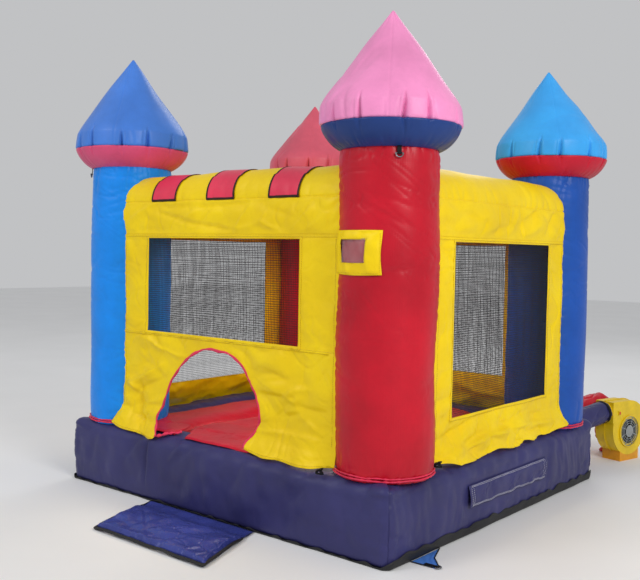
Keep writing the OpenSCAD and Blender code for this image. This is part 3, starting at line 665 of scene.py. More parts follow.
def sill(name, left, right, y0, y1):
    """The bed's cloth carried on over the front rim; left and right are (x at y0, x at y1)."""
    y = np.linspace(y0, y1, 44)[None, :]
    t = np.linspace(0, 1, 90)[:, None]
    k = (y - y0) / (y1 - y0)
    x0, x1 = left[0] + (left[1] - left[0]) * k, right[0] + (right[1] - right[0]) * k
    x = x0 + (x1 - x0) * t
    rim_z = 0.478 - 0.0977 * (1 - np.sqrt(1 - np.clip(1 - (BY + y) / 0.105, 0, 1) ** 2))
    z = np.maximum(bed_top(x, y)[0], rim_z + 0.004) + 0.009
    q = np.stack([x, y + 0 * x], -1)
    z = z + noise(q, 0.22, 0.0018, 44) + crumple(q, 0.14, 0.004, 45, cover=0.0)
    z = z - 0.004 * (ease(-t, -0.03, 0.0) + ease(t, 0.97, 1.0) + ease(k, 0.93, 1.0))
    ob = sheet_grid(name, np.concatenate([q, z[..., None]], -1), M["crimson"], 0.0018,
                    slot="vinyl_crimson")


sill("door_sill_cloth", (-0.545, -0.299), (0.520, 0.520), -1.040, -1.363)
sill("door_sill_far_cloth", (-0.900, -0.900), (-0.580, -0.440), -1.050, -1.335)

# ---------- towers ----------
TOWERS = {"front_right": (1, -1, "red", "dark_blue", "pink"),
          "front_left": (-1, -1, "blue", "rose", "mid_blue"),
          "back_right": (1, 1, "royal", "crimson", "sky"),
          "back_left": (-1, 1, "red", "dark_blue", "coral")}


def turned(cx, cy, r, z, th):
    return np.stack([cx + r * np.cos(th), cy + r * np.sin(th), z + 0 * th], -1)


def tower(name, sx, sy, key, seed):
    cx, cy = sx * COL_X, sy * COL_Y
    th = np.linspace(0, 2 * PI, 270, endpoint=False)[:, None]
    z = np.concatenate([[BASE_H - 0.012], np.arange(BASE_H, COL_TOP - 0.004, 0.0105),
                        [COL_TOP]])[None, :]
    low, high = z - BASE_H, COL_TOP - z
    r = COL_R - 0.011 * np.exp(-np.maximum(low, 0) / 0.030) - 0.010 * np.exp(-high / 0.035)
    r = r + 0.004 * np.sin(PI * np.clip(low / (COL_TOP - BASE_H), 0, 1))
    s = th * COL_R
    c = 2 * PI * COL_R
    p0 = turned(cx, cy, r, z, th)
    d = puckers(s, low, 0.048, 0.0065, 0.10, seed, period=c, slant=0.35)
    d += puckers(s, high, 0.052, 0.0060, 0.12, seed + 1, period=c, slant=0.35)
    d += noise(p0, 0.7, 0.0035, seed + 2)
    wide = p0 * np.array([1, 1, 3.2])
    d += crumple(wide, 0.42, 0.0060, seed + 3, cover=0.35) * (0.35 + 0.65 * ease(z, 1.3, 2.1))
    d += crumple(p0 * np.array([1, 1, 2.0]), 0.8, 0.0050, seed + 4, cover=0.4)
    d += crumple(p0 @ np.array([[1, 0, 0.9], [0, 1, 0.9], [0.4, 0.4, 2.2]]), 0.30, 0.0045, seed + 6,
                 sharp=0.13, cover=0.0) * (0.3 + 0.7 * ease(z, 1.2, 1.8))
    # short gathers where the walls are sewn on
    for joint in (math.atan2(sy * 0.22, -sx * 0.20), math.atan2(-sy * 0.20, sx * 0.22)):
        t = np.abs((th - joint + PI) % (2 * PI) - PI) * COL_R
        d += puckers(z + 0 * th, t, 0.065, 0.0055, 0.12, seed + 9, slant=0.5)
    # panel seam, turned to the inside of the house
    back = math.atan2(-sy, -sx)
    t = (th - back + PI) % (2 * PI) - PI
    d -= 0.004 * np.exp(-(t * COL_R / 0.007) ** 2)
    if name == "front_right":
        deg = (np.degrees(th) + 90 + 180) % 360 - 180
        arc = deg * COL_R * PI / 180
        d += folds(arc, z, [(0.17, 1.71, 0.33, 1.74, -0.006, 0.012),
                            (0.02, 1.66, 0.17, 1.70, -0.004, 0.014),
                            (0.05, 2.10, 0.30, 1.98, -0.0055, 0.011),
                            (0.10, 2.16, 0.34, 2.09, -0.004, 0.010),
                            (0.06, 2.05, 0.28, 2.13, 0.0035, 0.012),
                            (0.20, 1.98, 0.28, 1.92, -0.004, 0.008),
                            (0.04, 1.58, 0.13, 1.48, -0.004, 0.006)])
    p = turned(cx, cy, r + d, z, th)
    ob = solid_grid("tower_" + name + "_skin", p, M[key], wrap_u=True,
                    nodes=["tower_" + name])


DARTS = {"front_right": [-144, -106, -80, -45, -23, 11, 45, 75, 105, 135, 165, 195]}
TIP_SHIFT = {"back_right": (-0.027, -0.022, 0.0), "front_left": (0.0, 0.0, 0.012),
             "back_left": (0.0, 0.0, -0.045)}


def gathers(name, th, z, seed, up):
    """Pleats where the cap's two rings are sewn together, each a wedge that fades to a point."""
    g = np.random.default_rng(seed)
    out = np.zeros(np.broadcast(th, z).shape)
    places = DARTS.get(name, [360 / 13 * (k + g.uniform(-0.25, 0.25)) for k in range(13)])
    for at in np.radians(places):
        tall, deep = g.uniform(0.10, 0.18), g.uniform(0.040, 0.060)
        lean, wide = g.uniform(-0.05, 0.05), g.uniform(0.011, 0.017)
        reach = tall if up else tall * g.uniform(0.4, 0.7)
        h = np.clip((z - CAP_SEAM) / reach if up else (CAP_SEAM - z) / reach, 0, 1)
        t = ((th - at - lean * h + PI) % (2 * PI) - PI) * CAP_R
        w = wide * (1.05 - 0.85 * h)
        depth = deep * (1 - h) ** 0.8 * (1 if up else 0.30)
        out -= depth * np.exp(-np.abs(t / w) ** 1.5)
        t2 = t - 0.034 * g.choice([-1, 1])
        out -= 0.20 * depth * np.exp(-np.abs(t2 / (w * 0.7)) ** 1.5)
    return out


def cap(name, sx, sy, collar_key, spire_key, seed):
    cx, cy = sx * COL_X, sy * COL_Y
    th = np.linspace(0, 2 * PI, 440, endpoint=False)[:, None]
    v = np.linspace(0, 1, 20)[None, :]
    r = COL_R - 0.006 + (CAP_R - COL_R + 0.006) * (0.45 * v + 0.55 * np.sin(PI / 2 * v))
    z = COL_TOP - 0.010 + (CAP_SEAM - COL_TOP + 0.010) * (0.45 * v + 0.55 * (1 - np.cos(PI / 2 * v)))
    d = gathers(name, th, z, seed, False)
    d += puckers(th * CAP_R, z - COL_TOP, 0.055, 0.007, 0.05, seed + 1,
                 period=2 * PI * CAP_R, slant=0.3) * ease(v, 0, 0.2)
    d -= 0.003 * np.exp(-(CAP_SEAM - z) / 0.004)
    p = turned(cx, cy, r, z, th)
    d += noise(p, 0.35, 0.003, seed + 2)
    p = turned(cx, cy, r + d, z, th)
    ob = solid_grid("collar_" + name + "_skin", p, M[collar_key], wrap_u=True,
                    nodes=["collar_" + name])
    # spire
    low = np.linspace(CAP_SEAM, SHOULDER_Z + 0.05, 24)
    high = SHOULDER_Z + 0.05 + (CAP_TIP - SHOULDER_Z - 0.05) * np.linspace(0, 1, 46)[1:] ** 0.92
    z = np.concatenate([low, high])[None, :]
    cone = SHOULDER_R * (CAP_TIP + 0.010 - z) / (CAP_TIP + 0.010 - SHOULDER_Z)
    body = CAP_R - 0.012 * np.clip((z - CAP_SEAM) / (SHOULDER_Z - CAP_SEAM), 0, 1) ** 2
    k = 0.018
    r = -k * np.log(np.exp(-cone / k) + np.exp(-(body + 0.012) / k))
    r = np.minimum(r, body + 0.002)
    r = r - 0.006 * np.exp(-(z - CAP_SEAM) / 0.005)
    d = gathers(name, th, z, seed, True)
    p = turned(cx, cy, r, z, th)
    fade = np.clip(r / 0.15, 0.0, 1)
    d += noise(p, 0.45, 0.0055, seed + 3) * fade
    d += crumple(p * np.array([1, 1, 0.4]), 0.35, 0.006, seed + 4, cover=0.3) * fade
    tip = (CAP_TIP - z) / math.cos(math.atan(SHOULDER_R / (CAP_TIP - SHOULDER_Z)))
    d += puckers(th * 0.15, tip, 0.11, 0.006, 0.22, seed + 5, width=(0.006, 0.012),
                 period=2 * PI * 0.15, slant=0.02) * np.clip(r / 0.05, 0, 1)
    # gore seams run from the shoulder to the tip
    for g in range(4):
        t = ((th - (g + 0.37) * PI / 2 + PI) % (2 * PI) - PI) * r
        d -= 0.0035 * np.exp(-(t / 0.006) ** 2) * np.clip(r / 0.06, 0, 1)
    p = turned(cx, cy, np.maximum(r + d, 0.0015), z, th)
    up = np.clip((z - SHOULDER_Z) / (CAP_TIP - SHOULDER_Z), 0, 1)
    p = p + up[..., None] * np.array(TIP_SHIFT.get(name, (0, 0, 0)))
    ob = solid_grid("spire_" + name + "_skin", p, M[spire_key], wrap_u=True,
                    nodes=["spire_" + name])


for k, (name, (sx, sy, col, collar, spire)) in enumerate(TOWERS.items()):
    tower(name, sx, sy, col, 100 + 20 * k)
    cap(name, sx, sy, collar, spire, 300 + 20 * k)

# two lines of piping where each tower is sewn to the base, round its outer side
parts = []
for k, (name, (sx, sy, *_)) in enumerate(TOWERS.items()):
    mid = math.atan2(sy, sx)
    for row, (rr, zz, rad) in enumerate(((COL_R + 0.004, BASE_H + 0.006, 0.0065),
                                         (COL_R + 0.000, BASE_H + 0.021, 0.0055))):
        t = np.linspace(mid - 1.62, mid + 1.62, 130)
        arc = t * COL_R
        w = noise(arc[:, None], 0.16, 1.0, 500 + k * 7 + row)
        path = turned(sx * COL_X, sy * COL_Y, rr + 0.0025 * w, zz + 0.002 * w, t)
        parts.append(tube(path, rad * (1 + 0.12 * noise(arc[:, None], 0.05, 1, 520 + k)), 8))
v, f = bars(parts)
make("tower_piping_cord", v, f, M["piping"], nodes=["tower_piping"], slot="vinyl_rose")


# ---------- beams ----------
SEC = [("line", BEAM_SEAM - BEAM_LOW), ("arc", PI * BEAM_R), ("line", BEAM_SEAM - BEAM_LOW - BEAM_R),
       ("arc", PI / 2 * BEAM_R), ("line", BEAM_R)]
T_SEAM = BEAM_SEAM - BEAM_LOW
T_ALL = sum(s[1] for s in SEC)


def beam_section(t):
    """(inward from the wall plane, height) at arc length t from the outer lower edge."""
    t = np.asarray(t, float) % T_ALL
    e = np.cumsum([s[1] for s in SEC])
    a1 = (t - e[0]) / BEAM_R
    a3 = (t - e[2]) / BEAM_R
    zc = BEAM_LOW + BEAM_R
    conds = [t < e[0], t < e[1], t < e[2], t < e[3]]
    x = np.select(conds, [0 * t, BEAM_R - BEAM_R * np.cos(a1), 2 * BEAM_R + 0 * t,
                          BEAM_R + BEAM_R * np.cos(a3)], BEAM_R - (t - e[3]))
    z = np.select(conds, [BEAM_LOW + t, BEAM_SEAM + BEAM_R * np.sin(a1),
                          BEAM_SEAM - (t - e[1]), zc - BEAM_R * np.sin(a3)], BEAM_LOW + 0 * t)
    return x, z


BAND = {
    "front": [(-0.643, 2.088, -0.334, 2.015, -0.008, 0.010), (-0.334, 2.015, -0.058, 1.977, -0.007, 0.009),
              (-0.058, 1.977, 0.132, 1.951, -0.008, 0.009), (0.132, 1.951, 0.255, 2.099, 0.007, 0.011),
              (0.132, 1.951, 0.380, 2.009, 0.007, 0.011), (0.380, 2.009, 0.567, 1.935, 0.006, 0.010),
              (0.380, 2.009, 0.419, 2.087, 0.005, 0.009), (-0.971, 2.031, -0.728, 2.139, 0.008, 0.013),
              (-0.350, 2.031, -0.227, 2.108, 0.006, 0.012), (0.681, 1.979, 0.790, 2.081, 0.006, 0.010),
              (0.744, 1.941, 0.877, 2.015, 0.005, 0.010), (-0.62, 2.125, -0.10, 2.118, -0.005, 0.010),
              (-0.10, 2.118, 0.25, 2.140, -0.006, 0.010), (0.72, 2.02, 0.80, 2.12, -0.005, 0.010),
              (-0.80, 1.96, -0.55, 1.945, -0.004, 0.012), (0.45, 2.10, 0.66, 2.04, -0.005, 0.011)],
    "right": [(0.223, 2.050, 0.456, 2.140, -0.013, 0.022), (0.223, 2.050, 0.230, 1.935, -0.008, 0.012),
              (0.609, 2.016, 0.748, 2.140, -0.011, 0.020), (-0.662, 1.963, -0.101, 2.126, 0.007, 0.03),
              (0.30, 1.98, 0.50, 2.06, 0.009, 0.03), (-0.30, 1.95, -0.05, 2.00, -0.006, 0.02),
              (-0.60, 2.08, -0.35, 2.03, -0.006, 0.018), (0.05, 2.00, 0.14, 2.12, 0.006, 0.02)],
}


def band_folds(side, a, z):
    if side in BAND:
        return folds(a, z, BAND[side])
    g = np.random.default_rng(71 if side == "back" else 72)
    items = [(x, g.uniform(1.95, 2.12), x + g.uniform(-0.3, 0.3), g.uniform(1.95, 2.12),
              g.choice([-1, 1]) * g.uniform(0.004, 0.009), g.uniform(0.009, 0.02))
             for x in g.uniform(-0.8, 0.8, 14)]
    return folds(a, z, items)


def beam_surface(side, a, t):
    seed = {"front": 61, "right": 62, "back": 63, "left": 64}[side]
    a, t = np.broadcast_arrays(np.asarray(a, float), np.asarray(t, float))
    half = (COL_X if side in ("front", "back") else COL_Y) - 0.21
    e = 0.0008
    x, z = beam_section(t)
    x2, z2 = beam_section(t + e)
    x1, z1 = beam_section(t - e)
    tx, tz = x2 - x1, z2 - z1
    ln = np.maximum(np.hypot(tx, tz), 1e-9)
    nx, nz = -tz / ln, tx / ln
    q = np.stack([a, t], -1)
    d = noise(q, 0.6, 0.004, seed)
    over = np.where(t > T_SEAM, t - T_SEAM, 9.0)
    d = d + puckers(a, over, 0.085, 0.0060, 0.10, seed + 1, (0.012, 0.022), 0.4) * (t > T_SEAM)
    d = d + puckers(t, half - np.abs(a), 0.07, 0.009, 0.09, seed + 2, slant=0.4) * ease(t, 0.3, 0.36)
    d = d + crumple(q * np.array([0.6, 1]), 0.4, 0.0035, seed + 3, cover=0.45)
    d = d - 0.0045 * np.exp(-((t - T_SEAM) / 0.0045) ** 2)
    flat = 1 - ease(t, T_SEAM - 0.02, T_SEAM + 0.02)
    band = 1.9 * band_folds(side, a, z) + crumple(q, 0.24, 0.008, seed + 5, sharp=0.15, cover=-0.1)
    band = band + ridged(q * np.array([0.8, 1.2]), 0.24, 0.006, seed + 6)
    d = d + band * flat * ease(t, 0.01, 0.05) * ease(-t, -T_SEAM, -T_SEAM + 0.03)
    d = d * ease(t, -0.002, 0.03) * ease(-t, -T_ALL + 0.01, -T_ALL + 0.06)
    d = d + 0.010 * np.sin(np.clip(t / T_SEAM, 0, 1) * PI) * (t < T_SEAM)
    return place(side, a, PLANE[side] - x - nx * d, z + nz * d)


def beam_points(side, a, t, lift=0.0):
    """Beam surface with its outward normal pushed by lift."""
    p = beam_surface(side, a, t)
    if lift:
        n = grid_normals(p)
        c = place(side, a, PLANE[side] - BEAM_R + 0 * t, BEAM_LOW + BEAM_R + 0 * t)
        if np.mean(((p - c) * n).sum(-1)) < 0:
            n = -n
        p = p + n * lift
    return p


for side in PLANE:
    half = (COL_X if side in ("front", "back") else COL_Y) - 0.13
    a = np.linspace(-half, half, 221)[:, None]
    t = np.concatenate([np.arange(0, T_SEAM - 0.012, 0.013), T_SEAM + np.array(
        [-0.009, -0.005, -0.0025, 0, 0.0025, 0.005, 0.009]),
        np.arange(T_SEAM + 0.018, T_ALL - 0.005, 0.0145)])[None, :]
    p = beam_surface(side, a, t)
    ob = solid_grid("beam_" + side + "_skin", p, M["yellow"], wrap_v=True,
                    nodes=["beam_" + side], slot="vinyl_yellow")

edging_lo, edging_hi = cad("stripe_edging")
S_W = 0.262
S_PITCH = (edging_hi[0] - edging_lo[0] - S_W) / 2
S_MID = (edging_hi[0] + edging_lo[0]) / 2
T_TOP = T_SEAM + BEAM_R * (PI / 2 + 0.10)


def stripe_shift(t):
    return 0.012 * ease(t, T_SEAM + 0.17, T_SEAM + 0.175)


for k, s in enumerate((-1, 0, 1)):
    c = S_MID + s * S_PITCH
    t = np.linspace(T_SEAM + 0.004, T_TOP, 46)[None, :]
    u = np.linspace(-S_W / 2 + 0.004, S_W / 2 - 0.004, 24)[:, None]
    p = beam_points("front", c + u + stripe_shift(t), t + 0 * u, 0.0055)
    sheet_grid("awning_stripe_%d" % (k + 1), p, M["stripe"], 0.0016,
               nodes=["awning_stripes"] if k == 0 else [], slot="vinyl_stripe_red")
    parts = []
    for w0, w1 in ((-S_W / 2 - 0.002, -S_W / 2 + 0.011), (S_W / 2 - 0.011, S_W / 2 + 0.002)):
        u = np.linspace(w0, w1, 4)[:, None]
        parts.append(beam_points("front", c + u + stripe_shift(t), t + 0 * u, 0.0067))
    for n, q in enumerate(parts):
        sheet_grid("stripe_edge_%d_%d" % (k + 1, n + 1), q, M["edge"], 0.0018,
                   nodes=["stripe_edging"] if k == 0 else [], slot="vinyl_black")
    t = np.linspace(T_SEAM + 0.002, T_SEAM + 0.014, 4)[None, :]
    u = np.linspace(-S_W / 2 - 0.002, S_W / 2 + 0.002, 24)[:, None]
    q = beam_points("front", c + u + 0 * t, t + 0 * u, 0.0069)
    sheet_grid("stripe_edge_%d_low" % (k + 1), q, M["edge"], 0.0018, slot="vinyl_black")

# ---------- roof sheet ----------
roof_nx, roof_ny = 110, 96
rx, ry = WALL_X - 2 * BEAM_R + 0.02, WALL_Y - 2 * BEAM_R + 0.02
X, Y = np.meshgrid(np.linspace(-rx, rx, roof_nx), np.linspace(-ry, ry, roof_ny), indexing="ij")
inside = np.minimum(rx - np.abs(X), ry - np.abs(Y))
Z = ROOF_Z - 0.050 * (1 - np.exp(-np.maximum(inside, 0) / 0.5))
Q = np.stack([X, Y], -1)
Z += (noise(Q, 0.5, 0.010, 81) + crumple(Q, 0.5, 0.008, 82)) * ease(inside, 0, 0.12)
# the roof's darker amber yellow is painted shade
roof = sheet_grid("roof_sheet_cloth", np.stack([X, Y, Z], -1), M["inner"], 0.0018,
                  nodes=["roof_sheet"], slot="vinyl_yellow")

# ---------- walls ----------
APRON = {
    "front": [(-0.935, 0.813, -0.778, 0.881, 0.014, 0.018), (-0.778, 0.881, -0.625, 0.963, 0.011, 0.016),
              (-0.935, 0.813, -0.846, 0.761, 0.014, 0.018), (-0.820, 0.786, -0.600, 0.870, -0.008, 0.014),
              (-0.826, 0.650, -0.640, 0.710, 0.008, 0.014), (-0.828, 0.786, -0.817, 0.600, -0.014, 0.018),
              (-0.817, 0.600, -0.740, 0.520, -0.010, 0.018), (-0.730, 1.153, -0.627, 1.106, 0.008, 0.011),
              (-0.627, 1.106, -0.461, 1.066, 0.007, 0.010), (-0.461, 1.066, -0.36, 1.060, 0.005, 0.010),
              (0.400, 0.884, 0.629, 0.883, -0.009, 0.013), (0.629, 0.883, 0.693, 0.862, 0.009, 0.015),
              (0.693, 0.862, 0.731, 0.895, 0.007, 0.012), (0.629, 0.893, 0.692, 0.939, 0.008, 0.012),
              (0.692, 0.939, 0.817, 0.953, 0.005, 0.012), (0.742, 0.963, 0.762, 1.130, -0.004, 0.012),
              (0.430, 0.640, 0.660, 0.650, 0.008, 0.016), (0.660, 0.650, 0.909, 0.645, 0.007, 0.016),
              (0.707, 0.835, 0.960, 0.823, -0.005, 0.014), (0.46, 0.97, 0.60, 0.995, -0.004, 0.012),
              (0.78, 0.76, 0.90, 0.70, 0.006, 0.014), (0.62, 0.76, 0.74, 0.79, -0.007, 0.015)],
    "right": [(-0.457, 0.574, -0.258, 0.602, 0.016, 0.016), (-0.258, 0.602, -0.015, 0.611, 0.016, 0.016),
              (-0.015, 0.611, 0.416, 0.597, 0.015, 0.016), (0.416, 0.597, 0.820, 0.560, 0.012, 0.016),
              (-0.810, 0.660, -0.601, 0.690, -0.010, 0.018), (-0.601, 0.690, -0.410, 0.735, -0.010, 0.016),
              (-0.410, 0.735, -0.025, 0.760, -0.007, 0.014), (-0.75, 0.60, -0.55, 0.56, 0.010, 0.018),
              (-0.484, 0.540, -0.372, 0.561, -0.010, 0.013), (0.05, 0.66, 0.35, 0.70, -0.009, 0.016),
              (0.25, 0.56, 0.55, 0.54, -0.009, 0.014), (0.45, 0.66, 0.72, 0.64, -0.008, 0.014)],
}


# where the free lower edge hangs, the swing of the apron over the base's rim, and at each end
# of a wall how much of that swing is left and how far the cloth spreads along the wall
SEED = {"front": 91, "right": 92, "back": 93, "left": 94}
EDGE_A = [-1.05, -0.90, -0.64, -0.54, -0.21, 0.15, 0.31, 0.50, 0.70, 0.90, 1.05]
EDGE_Z = {"front": [0.505, 0.468, 0.444, 0.462, 0.47, 0.49, 0.502, 0.485, 0.476, 0.479, 0.50],
          "right": [0.640, 0.545, 0.473, 0.472, 0.491, 0.483, 0.487, 0.490, 0.498, 0.509, 0.52]}
SWING = {"front": 0.088, "right": 0.064, "back": 0.074, "left": 0.074}
ENDS = {("front", -1): (1.0, 0.07), ("front", 1): (0.35, 0.0), ("right", -1): (0.6, 0.04),
        ("right", 1): (1.25, 0.11)}


def lower_edge(side, a):
    """Height of the free lower edge of a wall's apron."""
    w = noise(np.asarray(a, float)[..., None], 0.30, 0.0045, SEED[side])
    if side in EDGE_Z:
        return np.interp(a, EDGE_A, EDGE_Z[side]) + w
    return 0.424 + w


def hang(side, a, z):
    """0 where the apron is still upright, 1 at its free lower edge."""
    starts = 0.655 + 0.02 * noise(a[..., None], 0.5, 1.0, SEED[side] + 17)
    return np.clip((starts - z) / (starts - 0.462), 0, 1.1) ** 1.35


def spread(side, a, z):
    """The apron's slack corners reach past the end of the wall."""
    edge = HALF[side] - np.abs(a)
    reach = np.where(a > 0, ENDS.get((side, 1), (0, 0))[1], ENDS.get((side, -1), (0, 0))[1])
    return a + np.sign(a) * reach * hang(side, a, z) * ease(-edge, -0.30, 0.0)


def wall_out(side, a, z):
    """Distance of a wall's outer face from the middle."""
    seed = SEED[side]
    a, z = np.broadcast_arrays(np.asarray(a, float), np.asarray(z, float))
    q = np.stack([a, z], -1)
    a0, a1, z0, z1 = WINDOW[side]
    # held flat where it is sewn to the beam, and pulled tight beside the net
    top = ease(BEAM_LOW - z, 0.0, 0.05)
    d = noise(q, 0.55, 0.006, seed + 10)
    slack = 0.4 + 0.6 * ease(noise(q, 0.7, 1.0, seed + 20), -0.6, 0.8)
    d = d + ridged(q * np.array([0.8, 1.2]), 0.26, 0.0085, seed + 11) * slack
    d = d + crumple(q, 0.36, 0.0070, seed + 12, sharp=0.16, cover=0.1)
    d = d + crumple(q, 0.20, 0.0065, seed + 13, sharp=0.14, cover=-0.1)
    dx = np.maximum(np.maximum(a0 - a, a - a1), 0)
    dz = np.maximum(np.maximum(z0 - z, z - z1), 0)
    near = np.hypot(dx, dz)
    d = d + puckers(z, np.where(dx > 0, dx, 9), 0.085, 0.0045, 0.08, seed + 14, slant=0.5) * (dx > 0)
    d = d + puckers(a, np.where(dz > 0, dz, 9), 0.10, 0.0045, 0.07, seed + 15, slant=0.5) * (dz > 0)
    d = d * ease(near, -0.01, 0.05)
    for ca in (a0, a1):
        for cz in (z0, z1):
            sa, sz = (1 if ca > 0 else -1), (1 if cz == z1 else -1)
            d = d + folds(a, z, [(ca, cz, ca + sa * 0.13, cz + sz * 0.09, 0.006, 0.012)])
    if side == "front":
        # the cloth is drawn smooth along the bound edge of the doorway
        from_arch = np.abs(np.hypot((a + 0.10) / 0.50, (z - 0.60) / 0.52) - 1)
        d = d * (0.25 + 0.75 * ease(from_arch, 0.0, 0.22))
    if side in APRON:
        d = d + 2.1 * folds(a, z, APRON[side])
    edge = HALF[side] - np.abs(a)
    d = d + puckers(z, edge - 0.02, 0.12, 0.005, 0.10, seed + 16, slant=0.6)
    tucked = ease(edge, -0.01, 0.06)
    left = np.where(a > 0, ENDS.get((side, 1), (0.35, 0))[0], ENDS.get((side, -1), (0.35, 0))[0])
    over = SWING[side] + noise(np.stack([a, z * 0.5], -1), 0.34, 0.010, seed + 18)
    over = over * (left + (1 - left) * ease(edge, 0.02, 0.16))
    # loose horizontal folds in the slack apron
    low = np.clip((0.82 - z) / 0.2, 0, 1)
    loose = ridged(np.stack([a * 0.5, z * 1.6], -1), 0.28, 0.019, seed + 21)
    loose = loose + crumple(np.stack([a * 0.7, z * 1.3], -1), 0.16, 0.008, seed + 19, cover=-0.3)
    loose = loose * low * ease(near, 0.0, 0.05) * {"front": 0.5, "right": 1.0}.get(side, 0.35)
    return PLANE[side] + (d * top + loose) * tucked + over * hang(side, a, z) + 0.003 * top


def wall_normals(side, a, z):
    e = 0.004
    a, z = np.broadcast_arrays(np.asarray(a, float), np.asarray(z, float))
    p = place(side, spread(side, a, z), wall_out(side, a, z), z)
    pa = place(side, spread(side, a + e, z), wall_out(side, a + e, z), z)
    pz = place(side, spread(side, a, z + e), wall_out(side, a, z + e), z + e)
    n = np.cross(pa - p, pz - p)
    n /= np.linalg.norm(n, axis=-1, keepdims=True)
    return p, n


def lines(stops, step):
    out = []
    for s, e in zip(stops[:-1], stops[1:]):
        out += list(np.linspace(s, e, max(2, int(round((e - s) / step)) + 1))[:-1])
    return np.array(out + [stops[-1]])


def wall_sheet(side):
    a0, a1, z0, z1 = WINDOW[side]
    half = HALF[side] + 0.008
    bottom = APRON_TOP if side == "front" else 0.5
    step = 0.0105 if side in ("front", "right") else 0.0135
    av = lines([-half, a0, a1, half], step)
    zv = lines([bottom, z0, z1, BEAM_LOW - 0.0005], step)
    if side != "front":
        zv = np.concatenate([[0.455, 0.466, 0.478, 0.489], zv])
    A, Z = np.meshgrid(av, zv, indexing="ij")
    if side != "front":
        # stretch the last rows down to the wavy lower edge
        low = lower_edge(side, A)
        k = np.clip((0.56 - Z) / (0.56 - 0.455), 0, 1)
        Z = Z + (low - 0.455) * k
    f = grid_faces(len(av), len(zv))
    ca, cz = A.ravel()[f].mean(1), Z.ravel()[f].mean(1)
    f = f[~((ca > a0) & (ca < a1) & (cz > z0) & (cz < z1))]
    keep = np.unique(f)
    new = np.full(A.size, -1)
    new[keep] = np.arange(len(keep))
    a, z = A.ravel()[keep], Z.ravel()[keep]
    p, n = wall_normals(side, a, z)
    name = side + "_wall"
    ob = thick(name + "_cloth", p, new[f], M["yellow"], 0.0020, n, nodes=[name],
               slot="vinyl_yellow")
    w, h = 2 * half, BEAM_LOW - (APRON_TOP if side == "front" else 0.44)
    area = w * h - (a1 - a0) * (z1 - z0)
    return ob, (w, h), area


def strip(side, path_a, path_z, w, lift, name, mat, t=0.0016, closed=False, rows=4, **kw):
    """A flat band of cloth sewn on a wall along a path, kept to the wall's own surface."""
    c = np.stack([path_a, path_z], -1)
    tan = (np.roll(c, -1, 0) - np.roll(c, 1, 0)) if closed else np.gradient(c, axis=0)
    tan /= np.linalg.norm(tan, axis=1, keepdims=True)
    off = np.stack([-tan[:, 1], tan[:, 0]], -1)
    k = np.linspace(-w / 2, w / 2, rows)
    q = c[:, None] + off[:, None] * k[None, :, None]
    p, n = wall_normals(side, q[..., 0], q[..., 1])
    v = (p + n * lift).reshape(-1, 3)
    return thick(name, v, grid_faces(len(c), rows, closed), mat, t, n.reshape(-1, 3), **kw)


def wall_line(pts, step=0.012):
    out = []
    for (a0, z0), (a1, z1) in zip(pts[:-1], pts[1:]):
        m = max(2, int(math.hypot(a1 - a0, z1 - z0) / step))
        out += [(a0 + (a1 - a0) * i / m, z0 + (z1 - z0) * i / m) for i in range(m)]
    out.append(pts[-1])
    return np.array(out)


seams = {}
for side in PLANE:
    ob, flat, area = wall_sheet(side)
    a0, a1, z0, z1 = WINDOW[side]
    half = HALF[side]
    rows = []
    # joined rows of stitching: round the net, across the top, and beside the towers
    frame_pts = [(a0 - 0.022, z0 - 0.022), (a1 + 0.022, z0 - 0.022), (a1 + 0.022, z1 + 0.012),
                 (a0 - 0.022, z1 + 0.012), (a0 - 0.022, z0 - 0.022)]
    rows.append(wall_line(frame_pts))
    for zz in ((BEAM_LOW - 0.010, BEAM_LOW - 0.001) if side == "front" else (BEAM_LOW - 0.010,)):
        rows.append(wall_line([(-half, zz), (half, zz)]))
    if side == "front":
        for zz in (APRON_TOP - 0.006, APRON_TOP + 0.006):
            rows.append(wall_line([(-half, zz), (half, zz)]))
    for s in (-1, 1):
        rows.append(wall_line([(s * (half - 0.030), 0.62), (s * (half - 0.030), 1.90)]))
    parts = []
    for r in rows:
        p, n = wall_normals(side, r[:, 0], r[:, 1])
        parts.append(stitches(p + n * 0.0022, n))
    st = merged(side + "_stitching", parts, M["thread"])
    # flat seam bands
    w0 = strip(side, *wall_line([(-half, BEAM_LOW - 0.006), (half, BEAM_LOW - 0.006)]).T,
               0.020, 0.0016, side + "_top_seam", M["yellow"])
    extra = [st.name, w0.name]
    if side == "front":
        w1 = strip(side, *wall_line([(-half, APRON_TOP), (half, APRON_TOP)]).T, 0.022,
                   0.0016, "front_mid_seam", M["yellow"])
        extra.append(w1.name)
    hem = strip(side, *wall_line([(a0 - 0.013, z0 - 0.013), (a1 + 0.013, z0 - 0.013),
                                        (a1 + 0.013, z1 + 0.010), (a0 - 0.013, z1 + 0.010),
                                        (a0 - 0.013, z0 - 0.013)])[:-1].T,
                0.018, 0.0015, side + "_window_hem", M["yellow"], closed=True)
    extra.append(hem.name)
    seams[side] = extra

# ---------- doorway apron ----------
ARCH = [(-0.555, 0.470), (-0.598, 0.580), (-0.566, 0.698), (-0.485, 0.877), (-0.325, 1.041),
        (-0.188, 1.112), (-0.048, 1.131), (0.172, 1.085), (0.301, 0.942), (0.394, 0.763),
        (0.365, 0.635), (0.300, 0.545), (0.310, 0.500)]


def spline(pts, n):
    """Smooth curve through points."""
    p = np.array(pts)
    p = np.vstack([2 * p[0] - p[1], p, 2 * p[-1] - p[-2]])
    out = []
    for i in range(1, len(p) - 2):
        for t in np.linspace(0, 1, n, endpoint=False):
            a, b, c, d = p[i - 1], p[i], p[i + 1], p[i + 2]
            out.append(0.5 * (2 * b + (c - a) * t + (2 * a - 5 * b + 4 * c - d) * t * t
                              + (3 * b - a - 3 * c + d) * t ** 3))
    out.append(p[-2])
    return np.array(out)


